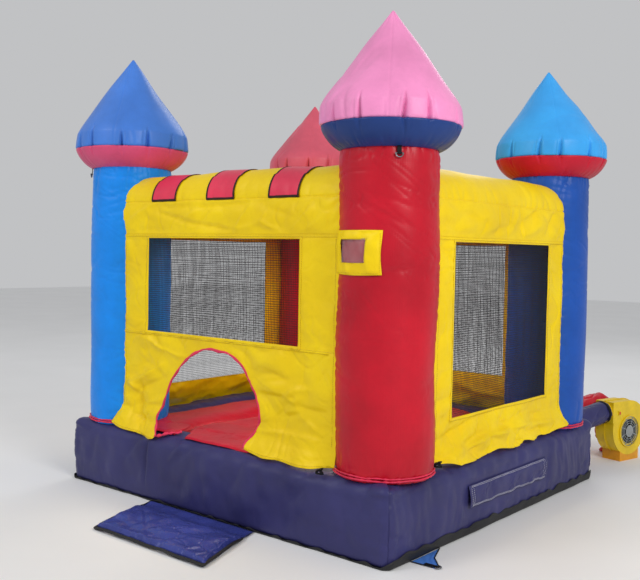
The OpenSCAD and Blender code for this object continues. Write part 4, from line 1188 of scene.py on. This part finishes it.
arch = spline(ARCH, 12)
seg = np.concatenate([[0], np.cumsum(np.linalg.norm(np.diff(arch, axis=0), axis=1))])
u = np.arange(0, seg[-1], 0.013)
arch = np.stack([np.interp(u, seg, arch[:, 0]), np.interp(u, seg, arch[:, 1])], 1)
arch += 0.0012 * np.stack([noise(u[:, None], 0.12, 1, 95), noise(u[:, None], 0.14, 1, 96)], 1)
half = HALF["front"] + 0.008
left_a = np.arange(-half, arch[0, 0] - 0.006, 0.014)
right_a = np.arange(arch[-1, 0] + 0.010, half, 0.014)
lower_l = np.stack([left_a, lower_edge("front", left_a)], 1)
lower_r = np.stack([right_a, lower_edge("front", right_a)], 1)
up_z = np.arange(lower_r[-1, 1] + 0.014, APRON_TOP - 0.008, 0.014)
top_a = np.arange(half, -half, -0.014)
down_z = np.arange(APRON_TOP - 0.014, lower_l[0, 1] + 0.008, -0.014)
outline = np.concatenate([
    lower_l, arch, lower_r, np.stack([np.full(len(up_z), half), up_z], 1),
    np.stack([top_a, np.full(len(top_a), APRON_TOP)], 1),
    np.stack([np.full(len(down_z), -half), down_z], 1)])


def inside_poly(pts, poly):
    x, y = pts[:, 0][:, None], pts[:, 1][:, None]
    a, b = poly, np.roll(poly, -1, 0)
    cross = ((a[:, 1] > y) != (b[:, 1] > y))
    with np.errstate(divide="ignore", invalid="ignore"):
        xi = (b[:, 0] - a[:, 0]) * (y - a[:, 1]) / (b[:, 1] - a[:, 1]) + a[:, 0]
    return ((cross & (x < xi)).sum(1) % 2) == 1


gx, gz = np.meshgrid(np.arange(-half, half, 0.0115), np.arange(0.42, APRON_TOP, 0.0100),
                     indexing="ij")
gx = gx + 0.00575 * (np.arange(gz.shape[1]) % 2)[None, :]
inner = np.stack([gx.ravel(), gz.ravel()], 1)
inner = inner[inside_poly(inner, outline)]
dist = np.full(len(inner), 9.0)
for q in outline:
    dist = np.minimum(dist, np.hypot(inner[:, 0] - q[0], inner[:, 1] - q[1]))
inner = inner[dist > 0.0085]
pts = np.concatenate([outline, inner])
n_out = len(outline)
res = delaunay_2d_cdt([Vector(q) for q in pts.tolist()],
                      [(i, (i + 1) % n_out) for i in range(n_out)], [], 0, 1e-6)
v2 = np.array([list(q) for q in res[0]])
f2 = np.array([list(q) for q in res[2]])
f2 = f2[inside_poly(v2[f2].mean(1), outline)]
keep = np.unique(f2)
new = np.full(len(v2), -1)
new[keep] = np.arange(len(keep))
p, n = wall_normals("front", v2[keep, 0], v2[keep, 1])
apron = thick("front_apron_cloth", p, new[f2], M["yellow"], 0.0020, n, nodes=["front_apron"],
              slot="vinyl_yellow")
p, n = wall_normals("front", arch[:, 0], arch[:, 1])
path = p - n * 0.001
v, f = tube(path, 0.0085 * (1 + 0.2 * noise(arch, 0.08, 1.0, 97)), 10, up=n, flat=0.6)
bind = make("doorway_binding_roll", v, f, M["binding"], nodes=["doorway_binding"],
            slot="vinyl_rose")
tail = spline([(-0.553, -1.406, 0.474), (-0.530, -1.398, 0.482), (-0.495, -1.374, 0.490),
               (-0.468, -1.345, 0.496), (-0.435, -1.318, 0.499), (-0.415, -1.290, 0.500)], 8)
tail[:, 2] += noise(tail, 0.05, 0.003, 98)
v, f = tube(tail, 0.017 * (1 + 0.3 * noise(tail, 0.04, 1.0, 99)), 10, flat=0.55)
make("doorway_binding_tail", v, f, M["binding"], slot="vinyl_rose")
area = 2 * half * (APRON_TOP - 0.44) - 0.62 * 0.86
hem_rows = []
for edge in (lower_l, lower_r):
    q, n = wall_normals("front", edge[2:-2, 0], edge[2:-2, 1] + 0.012)
    hem_rows.append(stitches(q + n * 0.0012, n))
hem_st = merged("front_apron_stitching", hem_rows, M["thread"])

# ---------- nets ----------
def net(side):
    a0, a1, z0, z1 = WINDOW[side]
    seed = {"front": 201, "right": 202, "back": 203, "left": 204}[side]
    pitch, rad = 0.0145, 0.00155

    def sag(a, z):
        u, v = (a - a0) / (a1 - a0), (z - z0) / (z1 - z0)
        free = np.clip(16 * u * (1 - u) * v * (1 - v), 0, 1)
        return -0.006 + (0.010 + noise(np.stack([a, z], -1), 0.6, 0.006, seed)) * free
    parts = []
    for horizontal in (True, False):
        lo, hi = (z0, z1) if horizontal else (a0, a1)
        s, e = (a0, a1) if horizontal else (z0, z1)
        count = int((hi - lo) / pitch)
        for k in range(count):
            c = lo + (k + 0.5) * (hi - lo) / count
            run = np.linspace(s - 0.006, e + 0.006, 22)
            drift = 0.004 * np.sin(np.linspace(0, PI, 22)) * math.sin(k * 0.7 + seed)
            a, z = (run, c + drift) if horizontal else (c + drift, run)
            off = sag(a, z) + (0.0012 if horizontal else -0.0012)
            path = place(side, a, PLANE[side] + off, z)
            up = place(side, 0.0, 1.0, 0.0)
            parts.append(tube(path, rad, 4, up=up))
    v, f = bars(parts)
    return make(side + "_window_net", v, f, M["net"],
                nodes=["window_nets"] if side == "front" else [], slot="net")


for side in PLANE:
    net(side)

# ---------- notice pocket on the near tower ----------
def on_tower(deg, r, z):
    t = np.radians(-90 + np.asarray(deg, float))
    return turned(COL_X, -COL_Y, r, z, t)


cx = COL_R + 0.0075
dv = np.linspace(-41, 28.5, 40)[:, None]
zv = np.linspace(1.690, 1.950, 30)[None, :]
U, V = (dv + 41) / 69.5, (zv - 1.690) / 0.260
q = np.stack([np.radians(dv) * COL_R + 0 * zv, zv + 0 * dv], -1)
edge = np.minimum(np.minimum(U, 1 - U) * 0.37, np.minimum(V, 1 - V) * 0.26)
puff = 0.007 * ease(edge, 0, 0.03) + noise(q, 0.09, 0.0022, 211) + noise(q, 0.2, 0.003, 212)
puff += crumple(q, 0.10, 0.004, 213, cover=0.0)
puff *= ease(edge, -0.004, 0.02)
warp = 0.006 * np.sin(U * PI) * (1 - V)
P = on_tower(dv + 1.0 * np.sin(zv * 20), cx + puff, zv - warp)
f = grid_faces(40, 30)
fa, fz = (dv + 0 * zv).ravel()[f].mean(1), (zv + 0 * dv).ravel()[f].mean(1)
in_window = (fa > -24.7) & (fa < 10.4) & (fz > 1.762) & (fz < 1.897)
n = grid_normals(P).reshape(-1, 3)
v = P.reshape(-1, 3)
if np.mean(((v - np.array([COL_X, -COL_Y, 1.8])) * n).sum(1)) < 0:
    n = -n
f = f[~in_window]
keep = np.unique(f)
new = np.full(len(v), -1)
new[keep] = np.arange(len(keep))
pocket = thick("notice_pocket_cloth", v[keep], new[f], M["yellow"], 0.0018, n[keep],
               nodes=["notice_pocket"], slot="vinyl_yellow")
d2, z2 = np.linspace(-26, 11.6, 20)[:, None], np.linspace(1.757, 1.902, 16)[None, :]
q = np.stack([np.radians(d2) * COL_R + 0 * z2, z2 + 0 * d2], -1)
P = on_tower(d2, cx + 0.0025 + noise(q, 0.08, 0.0012, 214), z2)
film = sheet_grid("notice_pocket_film", P, M["clear"], 0.0005, nodes=["pocket_window"],
                  slot="clear_film")
rows = []
for (d0, zz0, d1, zz1) in ((-39.6, 1.698, 27.1, 1.698), (-39.6, 1.698, -39.6, 1.942),
                           (27.1, 1.698, 27.1, 1.942), (-27, 1.756, 12.6, 1.756),
                           (-27, 1.903, 12.6, 1.903), (-27, 1.756, -27, 1.903),
                           (12.6, 1.756, 12.6, 1.903)):
    m = np.linspace(0, 1, 30)
    dd, zz = d0 + (d1 - d0) * m, zz0 + (zz1 - zz0) * m
    pp = on_tower(dd, cx + 0.0075, zz)
    nn = pp - on_tower(dd, cx - 0.1, zz)
    rows.append(stitches(pp, nn / np.linalg.norm(nn, axis=1, keepdims=True)))
pst = merged("notice_pocket_stitching", rows, M["thread"])

# ---------- entry step ----------
step_lo, step_hi = cad("entry_step")
S_Y0, S_Y1 = step_hi[1], step_lo[1]
STEP_W, STRIP, LEAN = 1.030, 0.195, 0.235 / 0.665
S_X0 = -0.556


def step_point(s, w):
    """Plan position: s away from the base, w across from the left edge."""
    y = S_Y0 - s
    return np.stack([S_X0 + w + LEAN * s, y + 0 * w], -1)


def pad_start():
    """Flat padded panel, before inflation."""
    s = np.linspace(STRIP + 0.014, S_Y0 - S_Y1 - 0.014, 44)[None, :]
    w = np.linspace(0.014, STEP_W - 0.014, 90)[:, None]
    xy = step_point(s + 0 * w, w + 0 * s)
    u = np.minimum(np.minimum(w, STEP_W - w), np.minimum(s - STRIP, S_Y0 - S_Y1 - s))
    h = 0.005 + 0.010 * ease(u, 0.0, 0.05)
    mid = 0.020
    top = np.concatenate([xy, (mid + h)[..., None]], -1)
    low = np.concatenate([xy, (mid - h)[..., None]], -1)
    nu, nv = top.shape[:2]
    v = np.concatenate([top.reshape(-1, 3), low.reshape(-1, 3)])
    f = grid_faces(nu, nv)
    e = np.concatenate([np.stack([f[:, k], f[:, (k + 1) % 4]], 1) for k in range(4)])
    key = np.sort(e, 1)
    _, first, count = np.unique(key, axis=0, return_index=True, return_counts=True)
    rim = e[first[count == 1]]
    n = nu * nv
    faces = f.tolist() + (f[:, ::-1] + n).tolist() + [(b, a, a + n, b + n) for a, b in rim.tolist()]
    return v, faces


v, f = pad_start()
pad = make("entry_step_pad", v, f, M["step"], body="step", nodes=["entry_step"],
           slot="vinyl_indigo")
REMESH = 0.008
bpy.context.view_layer.objects.active = pad
mod = pad.modifiers.new("remesh", "REMESH")
mod.mode = "VOXEL"
mod.voxel_size = REMESH
dg = bpy.context.evaluated_depsgraph_get()
me = bpy.data.meshes.new_from_object(pad.evaluated_get(dg))
pad.modifiers.clear()
pad.data = me
rest = np.array([q.co for q in me.vertices])
# blown up by the cloth solver, then given light wrinkling
u = np.minimum(rest[:, 1] - S_Y1, S_Y0 - STRIP - rest[:, 1])
c = pad.modifiers.new("cloth", "CLOTH")
c.settings.quality = 4
c.settings.mass = 0.3
c.settings.tension_stiffness = 8
c.settings.compression_stiffness = 8
c.settings.shear_stiffness = 4
c.settings.bending_stiffness = 0.05
c.settings.use_pressure = True
c.settings.uniform_pressure_force = 3.0
c.settings.effector_weights.gravity = 0
c.settings.shrink_min = -0.04
scene = bpy.context.scene
for fr in range(1, 19):
    scene.frame_set(fr)
dg = bpy.context.evaluated_depsgraph_get()
sim = bpy.data.meshes.new_from_object(pad.evaluated_get(dg))
scene.frame_set(1)
pad.modifiers.clear()
moved = np.array([q.co for q in sim.vertices])
delta = moved - rest
size = np.linalg.norm(delta, axis=1, keepdims=True)
limit = 0.014
delta = delta * np.minimum(1, limit / np.maximum(size, 1e-9))
co = rest + delta
q = co[:, :2]
top_side = co[:, 2] > 0.020
wr = noise(q, 0.30, 0.004, 231) + crumple(q, 0.22, 0.008, 232, cover=-0.1) + ridged(q, 0.22, 0.007, 234)
wr += crumple(q, 0.11, 0.003, 233, cover=0.3)
across = q[:, 0] - S_X0 - LEAN * (S_Y0 - q[:, 1])
along = S_Y0 - q[:, 1]
wr += folds(across, along, [(0.12, 0.24, 0.38, 0.50, -0.010, 0.012), (0.38, 0.50, 0.92, 0.42, 0.007, 0.016),
                     (0.16, 0.22, 0.20, 0.40, 0.005, 0.012), (0.82, 0.62, 0.88, 0.50, 0.006, 0.010),
                     (0.90, 0.60, 0.95, 0.47, -0.006, 0.009), (0.60, 0.55, 0.86, 0.56, -0.006, 0.014),
                     (0.05, 0.50, 0.55, 0.60, -0.006, 0.018)])
edge = np.minimum(np.minimum(across, STEP_W - across), np.minimum(along - STRIP, S_Y0 - S_Y1 - along))
co[:, 2] += np.where(top_side, wr * ease(edge, 0.0, 0.04), 0)
co[:, 2] = np.clip(co[:, 2], 0.0022, 0.060)
pad.data.vertices.foreach_set("co", co.ravel())
pad.data.update()
pad.data.polygons.foreach_set("use_smooth", [True] * len(pad.data.polygons))
pad.data.materials.clear()
pad.data.materials.append(M["step"])

# the thin strip that joins the pad to the base, and the black edge tape round both
s = np.linspace(0.001, STRIP + 0.022, 20)[None, :]
w = np.linspace(0.0, STEP_W, 80)[:, None]
xy = step_point(s + 0 * w, w + 0 * s)
z = 0.0035 + 0.016 * ease(s, 0.10, STRIP + 0.01) + 0.002 * (1 + noise(xy, 0.14, 1.0, 241))
z = z * ease(s, -0.01, 0.03) + 0.002
flap = sheet_grid("entry_step_strip", np.concatenate([xy, z[..., None]], -1), M["step"], 0.0016,
                  body="step", slot="vinyl_indigo")
parts = []
S_END = S_Y0 - S_Y1
loop = [(STRIP - 0.02, 0.006), (S_END - 0.008, 0.006), (S_END - 0.008, STEP_W - 0.006),
        (STRIP - 0.02, STEP_W - 0.006)]
path = []
for (s0, w0), (s1, w1) in zip(loop[:-1], loop[1:]):
    m = np.linspace(0, 1, 60)[:-1]
    path += [(s0 + (s1 - s0) * t, w0 + (w1 - w0) * t) for t in m]
path.append(loop[-1])
path = np.array(path)
xy = step_point(path[:, 0], path[:, 1])
zz = 0.0175 + 0.002 * noise(xy, 0.2, 1.0, 242)
parts.append(tube(np.concatenate([xy, zz[:, None]], 1), 0.0125, 8, flat=0.75))
for w_edge in (0.006, STEP_W - 0.006):
    s = np.linspace(0.004, STRIP - 0.02, 20)
    xy = step_point(s, w_edge + 0 * s)
    zz = 0.0075 + 0.010 * ease(s, 0.08, STRIP)
    parts.append(tube(np.concatenate([xy, zz[:, None]], 1), 0.0055, 8, flat=0.6))
v, f = bars(parts)
make("entry_step_tape", v, f, M["black"], body="step", slot="vinyl_black")

# ---------- zip on the right side ----------
zt_lo, zt_hi = cad("zip_tape")
y = np.linspace(zt_lo[1], zt_hi[1], 160)[:, None]
z = np.linspace(0.232, 0.268, 7)[None, :]
xx = BX + 0.0022 + 0.0006 * np.cos((z - 0.25) / 0.036 * PI)
P = np.stack(np.broadcast_arrays(xx + 0 * y, y + 0 * z, z + 0 * y), -1)
sheet_grid("zip_tape_cloth", P, M["tape"], 0.0012, nodes=["zip_tape"], slot="webbing")
parts = []
for k, yy in enumerate(np.arange(-0.535, 0.535, 0.0075)):
    s = 0.0021 if k % 2 else -0.0021
    path = np.array([(BX + 0.0038, yy, 0.25 + s - 0.0035), (BX + 0.0042, yy, 0.25 + s + 0.0035)])
    parts.append(tube(path, 0.0016, 6, up=(1, 0, 0)))
v, f = bars(parts)
make("zip_teeth", v, f, M["fan"], slot="webbing")

zf_lo, zf_hi = cad("zip_flap")
ny, nz = 130, 22
y = np.linspace(zf_lo[1], zf_hi[1], ny)[:, None]
t = np.linspace(0, 1, nz)[None, :]
z = zf_hi[2] - 0.0012 - (zf_hi[2] - zf_lo[2] + 0.004) * t
q = np.stack([y + 0 * t, z + 0 * y], -1)
xf = BX + 0.0075 + 0.0085 * ease(t, 0.0, 0.22) + 0.003 * np.sin(PI * t)
xf = xf + (noise(q, 0.16, 0.0030, 251) + crumple(q * np.array([1, 1.6]), 0.12, 0.0055, 252, cover=0.0)
           + 0.002) * ease(t, 0, 0.2)
xf = np.maximum(xf, BX + 0.0125 * ease(t, 0.1, 0.2) + 0.0035)
z = z + 0.003 * noise(y[..., None], 0.2, 1.0, 253) * t
P = np.stack(np.broadcast_arrays(xf, y + 0 * t, z), -1)
zflap = sheet_grid("zip_flap_cloth", P, M["navy"], 0.0018, body="zip_flap", nodes=["zip_flap"],
                   slot="vinyl_navy")
rows = []
for tt in (1, 2, nz - 3, nz - 2):
    path = P[3:-3, tt] + np.array([0.0032, 0, 0])
    rows.append(stitches(path, np.tile([1.0, 0, 0], (len(path), 1)), 0.0135, 0.0105, 0.0036))
for yy in (3, 6, ny - 7, ny - 4):
    path = P[yy, 2:-2] + np.array([0.0032, 0, 0])
    rows.append(stitches(path, np.tile([1.0, 0, 0], (len(path), 1)), 0.0135, 0.0105, 0.0036))
zst = merged("zip_flap_stitching", rows, M["thread_w"], body="zip_flap")

# ---------- blower tube and deflation sleeve ----------
FAN = (1.412, 2.330, math.radians(-14))


def fan_point(p):
    p = np.asarray(p, float)
    c, s = math.cos(FAN[2]), math.sin(FAN[2])
    return np.stack([FAN[0] + c * p[..., 0] - s * p[..., 1],
                     FAN[1] + s * p[..., 0] + c * p[..., 1], p[..., 2]], -1)


def bag(name, path, radius, mat, seed, lengthwise, pinch=(0, 0), nodes=(), slot=None, nu=120,
        ring=0.0):
    """A blown-up cloth tube along a path, with gathers at its ends and folds along it."""
    path = np.asarray(path, float)
    s = np.concatenate([[0], np.cumsum(np.linalg.norm(np.diff(path, axis=0), axis=1))])
    tan = np.gradient(path, axis=0)
    tan /= np.linalg.norm(tan, axis=1, keepdims=True)
    side = np.cross(tan, [0, 0, 1.0])
    weak = np.linalg.norm(side, axis=1) < 0.2
    ref = side[~weak][0] if (~weak).any() else np.array([1.0, 0, 0])
    side[weak] = ref
    side /= np.linalg.norm(side, axis=1, keepdims=True)
    nor = np.cross(side, tan)
    th = np.linspace(0, 2 * PI, nu, endpoint=False)[:, None]
    r = np.asarray(radius)[None, :] + 0 * th
    circ = np.stack([np.cos(th) * 0.1 + 0 * s, np.sin(th) * 0.1 + 0 * s, s[None, :] + 0 * th], -1)
    d = noise(circ, 0.25, 0.003, seed) + crumple(circ * np.array([2.4, 2.4, 1]), 0.2, lengthwise, seed + 1,
                                                 sharp=0.35, cover=-0.2)
    if pinch[0]:
        d += puckers(th * 0.1, s[None, :] + 0 * th, 0.045, pinch[0], 0.12, seed + 2,
                     period=2 * PI * 0.1, slant=0.1)
    if pinch[1]:
        d += puckers(th * 0.1, s[-1] - s[None, :] + 0 * th, 0.045, pinch[1], 0.12, seed + 3,
                     period=2 * PI * 0.1, slant=0.1)
    if ring:
        d += ring * noise(s[None, :, None] + 0 * th[..., None], 0.07, 1.0, seed + 4)
    r = r + d
    p = (path[None] + r[..., None] * (np.cos(th)[..., None] * side[None]
                                      + np.sin(th)[..., None] * nor[None]))
    p[..., 2] = np.maximum(p[..., 2], 0.004)
    return solid_grid(name, p, mat, wrap_u=True, nodes=nodes, slot=slot)


tube_a, tube_b = np.array([0, -1.180, 0.312]), np.array([0, -0.256, 0.447])
k = np.linspace(0.26, 1.0, 70)[:, None]
path = fan_point(tube_a + (tube_b - tube_a) * k)
rad = (0.118 - 0.024 * k[:, 0]) + 0.004 * np.sin(k[:, 0] * 9) - 0.004
ob = bag("air_tube_cloth", path, rad, M["navy"], 261, 0.005, (0.006, 0.006), ["air_tube"],
         "vinyl_navy")
strap_axis = (tube_b - tube_a) / np.linalg.norm(tube_b - tube_a)
full = np.linalg.norm(tube_b - tube_a)
rows = []
th = np.linspace(0, 2 * PI, 90, endpoint=False)[:, None]
up = np.cross([1.0, 0, 0], strap_axis)
for along, rr in ((0.952, 0.0965), (0.954, 0.0985), (0.972, 0.0985), (0.974, 0.0965)):
    c = tube_a + strap_axis * (full - 0.038 + (along - 0.952) * 1.2)
    rows.append(c + rr * (np.cos(th) * np.array([1.0, 0, 0]) + np.sin(th) * up))
P = fan_point(np.stack(rows, 1))
thick("tube_strap_band", P.reshape(-1, 3), grid_faces(90, 4, True), M["webbing"], 0.0015, None,
      nodes=["tube_strap"], slot="webbing")

SL_X, SL_R = -0.225, 0.104
tilt = math.atan2(0.466 - 0.325, 1.080 - 0.090)
bend = 0.175
pts = [(SL_X, y, 0.325 + (y + 1.080) * math.tan(tilt)) for y in np.linspace(-0.84, -0.09, 44)]
bend_y, bend_z = -0.090 + bend * math.sin(tilt), 0.466 - bend * math.cos(tilt)
for t in np.linspace(PI / 2 + tilt, 0, 22)[1:]:
    pts.append((SL_X, bend_y + bend * math.cos(t), bend_z + bend * math.sin(t)))
for zz in np.linspace(bend_z, 0.012, 20)[1:]:
    pts.append((SL_X, bend_y + bend, zz))
pts = np.array(pts)
k = np.arange(len(pts)) / (len(pts) - 1)
zz = pts[:, 2]
rad = np.full(len(pts), SL_R - 0.004)
tail = ease(-zz, -0.15, -0.075) * (k > 0.8)
rad = rad * (1 - tail) + 0.028 * tail
foot = ease(-zz, -0.06, -0.012) * (k > 0.8)
rad = rad + 0.032 * foot
ob = bag("deflation_sleeve_cloth", fan_point(pts), rad, M["red"], 271, 0.011, (0.008, 0.004),
         ["deflation_sleeve"], "vinyl_crimson", nu=150, ring=0.002)

# ---------- tabs ----------
parts = []
for sx, sy in ((1, -1), (-1, -1), (1, 1), (-1, 1)):
    mid = math.atan2(sy, sx)
    o = np.array([sx * COL_X, sy * COL_Y, 0])
    outward = np.array([math.cos(mid), math.sin(mid), 0])
    sideways = np.array([-math.sin(mid), math.cos(mid), 0])
    prof = [(0.0015, COL_TOP - 0.003), (0.0016, 2.414), (0.0035, 2.402)]
    prof += [(0.0083 + 0.0072 * math.cos(t), 2.392 + 0.0072 * math.sin(t))
             for t in np.linspace(PI * 0.78, -PI * 0.95, 14)]
    prof += [(0.0012, 2.400)]
    prof = np.array(prof)
    w = np.linspace(-0.0135, 0.0135, 6)
    P = np.array([[o + outward * (COL_R + r) + sideways * ww + np.array([0, 0, z]) for ww in w]
                  for r, z in prof])
    nn = grid_normals(P)
    parts.append((P, nn))
for k, (P, nn) in enumerate(parts):
    sheet_grid("tether_tab_%d" % (k + 1), P, M["webbing"], 0.0014,
               nodes=["tether_tabs"] if k == 0 else [], slot="webbing")


def anchor_frame(i, p):
    p = np.asarray(p, float)
    if i == 0:
        return p + np.array([HX, -1.190, 0])
    if i == 1:
        q = p + np.array([HX, -1.190, 0])
        return q * np.array([-1, 1, 1])
    q = np.stack([-p[..., 1] + 1.190, p[..., 0] + HY, p[..., 2]], -1)
    return q if i == 2 else q * np.array([-1, 1, 1])


for i in range(4):
    u = np.linspace(0, 1, 34)[:, None]
    reach = 0.0005 + (0.166 - 0.0005) * u
    wide = np.where(reach < 0.070, 0.300 + (0.130 - 0.300) * reach / 0.070,
                    0.130 + (0.016 - 0.130) * (reach - 0.070) / 0.102)
    across = np.linspace(0, 1, 20)[None, :]
    near_edge = -0.022 + 0.006 * reach / 0.172
    yy = near_edge + (wide - near_edge) * across
    z = 0.0030 + 0.003 * np.sin(across * 9 + u * 3) ** 2 * np.sin(PI * u) + 0 * across
    P = anchor_frame(i, np.stack(np.broadcast_arrays(reach + 0 * across, yy, z), -1))
    sheet_grid("anchor_tab_%d" % (i + 1), P, M["tab_blue"], 0.0016,
               nodes=["anchor_tabs"] if i == 0 else [], slot="vinyl_light_blue")
    strap_p = []
    th = np.linspace(PI * 0.9, -PI * 0.95, 16)
    for yk in np.linspace(-0.0135, 0.0135, 6):
        row = [(0.085, yk, 0.0085), (0.12, yk, 0.0088), (0.155, yk, 0.0100)]
        row += [(0.172 + 0.0070 * math.cos(t), yk, 0.008 + 0.0070 * math.sin(t)) for t in th]
        row += [(0.150, yk, 0.0046)]
        strap_p.append(row)
    P = anchor_frame(i, np.array(strap_p))
    sheet_grid("anchor_strap_%d" % (i + 1), P, M["webbing"], 0.0014, slot="webbing")
    ed = []
    for side_v in (0, 1):
        yy = near_edge[:, 0] + (wide[:, 0] - near_edge[:, 0]) * side_v
        pp = np.stack([reach[:, 0], yy, 0.0056 + 0 * yy], -1)
        ed.append(tube(anchor_frame(i, pp[:-3]), 0.0042, 6, flat=0.7))
    v, f = bars(ed)
    make("anchor_tape_%d" % (i + 1), v, f, M["black"], slot="vinyl_black")

# ---------- knotted ties at the foot of the near tower ----------
parts = []
for tie_x, tie_y, tie_z in ((0.992, -1.432, 0.494), (1.502, -0.905, 0.530)):
    k = np.linspace(0, 1, 60)
    path = np.stack([tie_x + 0.016 * np.sin(k * 17) + 0.010 * k, tie_y + 0.014 * np.cos(k * 15),
                     tie_z + 0.016 * np.cos(k * 11 + 1) - 0.008 * k], -1)
    parts.append(tube(path, 0.0055, 7))
v, f = bars(parts)
make("corner_ties", v, f, M["webbing"], slot="webbing")

# ---------- floor, light and camera ----------
bpy.ops.mesh.primitive_grid_add(x_subdivisions=4, y_subdivisions=4, size=60, location=(0, 0, 0))
floor = bpy.context.object
floor.name = "floor"
mat, nt, bsdf = nodes_of("floor_pale")
tc = add(nt, "ShaderNodeTexCoord")
mottle = object_noise(nt, tc, Scale=0.8, Detail=3.0)
nt.links.new(dyed(nt, mottle, (0.80, 0.80, 0.80, 1), (0.88, 0.88, 0.88, 1)),
             bsdf.inputs["Base Color"])
bsdf.inputs["Roughness"].default_value = 0.9
floor.data.materials.append(mat)

bpy.context.scene.view_settings.view_transform = "Standard"
world = bpy.data.worlds.new("studio")
bpy.context.scene.world = world
world.use_nodes = True
bg = world.node_tree.nodes["Background"]
bg.inputs["Color"].default_value = (0.97, 0.98, 1.0, 1)
bg.inputs["Strength"].default_value = 0.55


def area_light(name, loc, target, size, power, colour=(1, 1, 1)):
    data = bpy.data.lights.new(name, "AREA")
    data.shape, data.size, data.energy, data.color = "DISK", size, power, colour
    ob = bpy.data.objects.new(name, data)
    bpy.context.scene.collection.objects.link(ob)
    ob.location = loc
    ob.rotation_euler = (Vector(target) - Vector(loc)).to_track_quat("-Z", "Y").to_euler()
    ob.visible_camera = False


area_light("key", (-3.0, -9.0, 8.0), (0, 0, 1.2), 5.0, 270)
area_light("side", (9.5, -3.5, 6.5), (0, 0, 1.2), 4.0, 455, (1.0, 0.99, 0.97))
area_light("rear", (-3.0, 8.0, 8.0), (0, 0, 1.5), 5.0, 160)
area_light("room", (0.0, 0.0, 1.90), (0, 0, 0.5), 1.5, 22, (1.0, 0.95, 0.86))

az, pitch, roll = math.radians(39.753), math.radians(2.502), math.radians(1.054)
fwd = Vector((-math.sin(az) * math.cos(pitch), math.cos(az) * math.cos(pitch), -math.sin(pitch)))
right0 = Vector((math.cos(az), math.sin(az), 0))
up0 = right0.cross(fwd)
rt = right0 * math.cos(roll) + up0 * math.sin(roll)
up = up0 * math.cos(roll) - right0 * math.sin(roll)
cam_data = bpy.data.cameras.new("camera")
cam = bpy.data.objects.new("camera", cam_data)
bpy.context.scene.collection.objects.link(cam)
m = Matrix((rt, up, -fwd)).transposed().to_4x4()
m.translation = Vector((4.3513, -5.4902, 1.8194))
cam.matrix_world = m
cam_data.sensor_width = 36.0
cam_data.lens = 49.3425
cam_data.clip_end = 200
bpy.context.scene.camera = cam
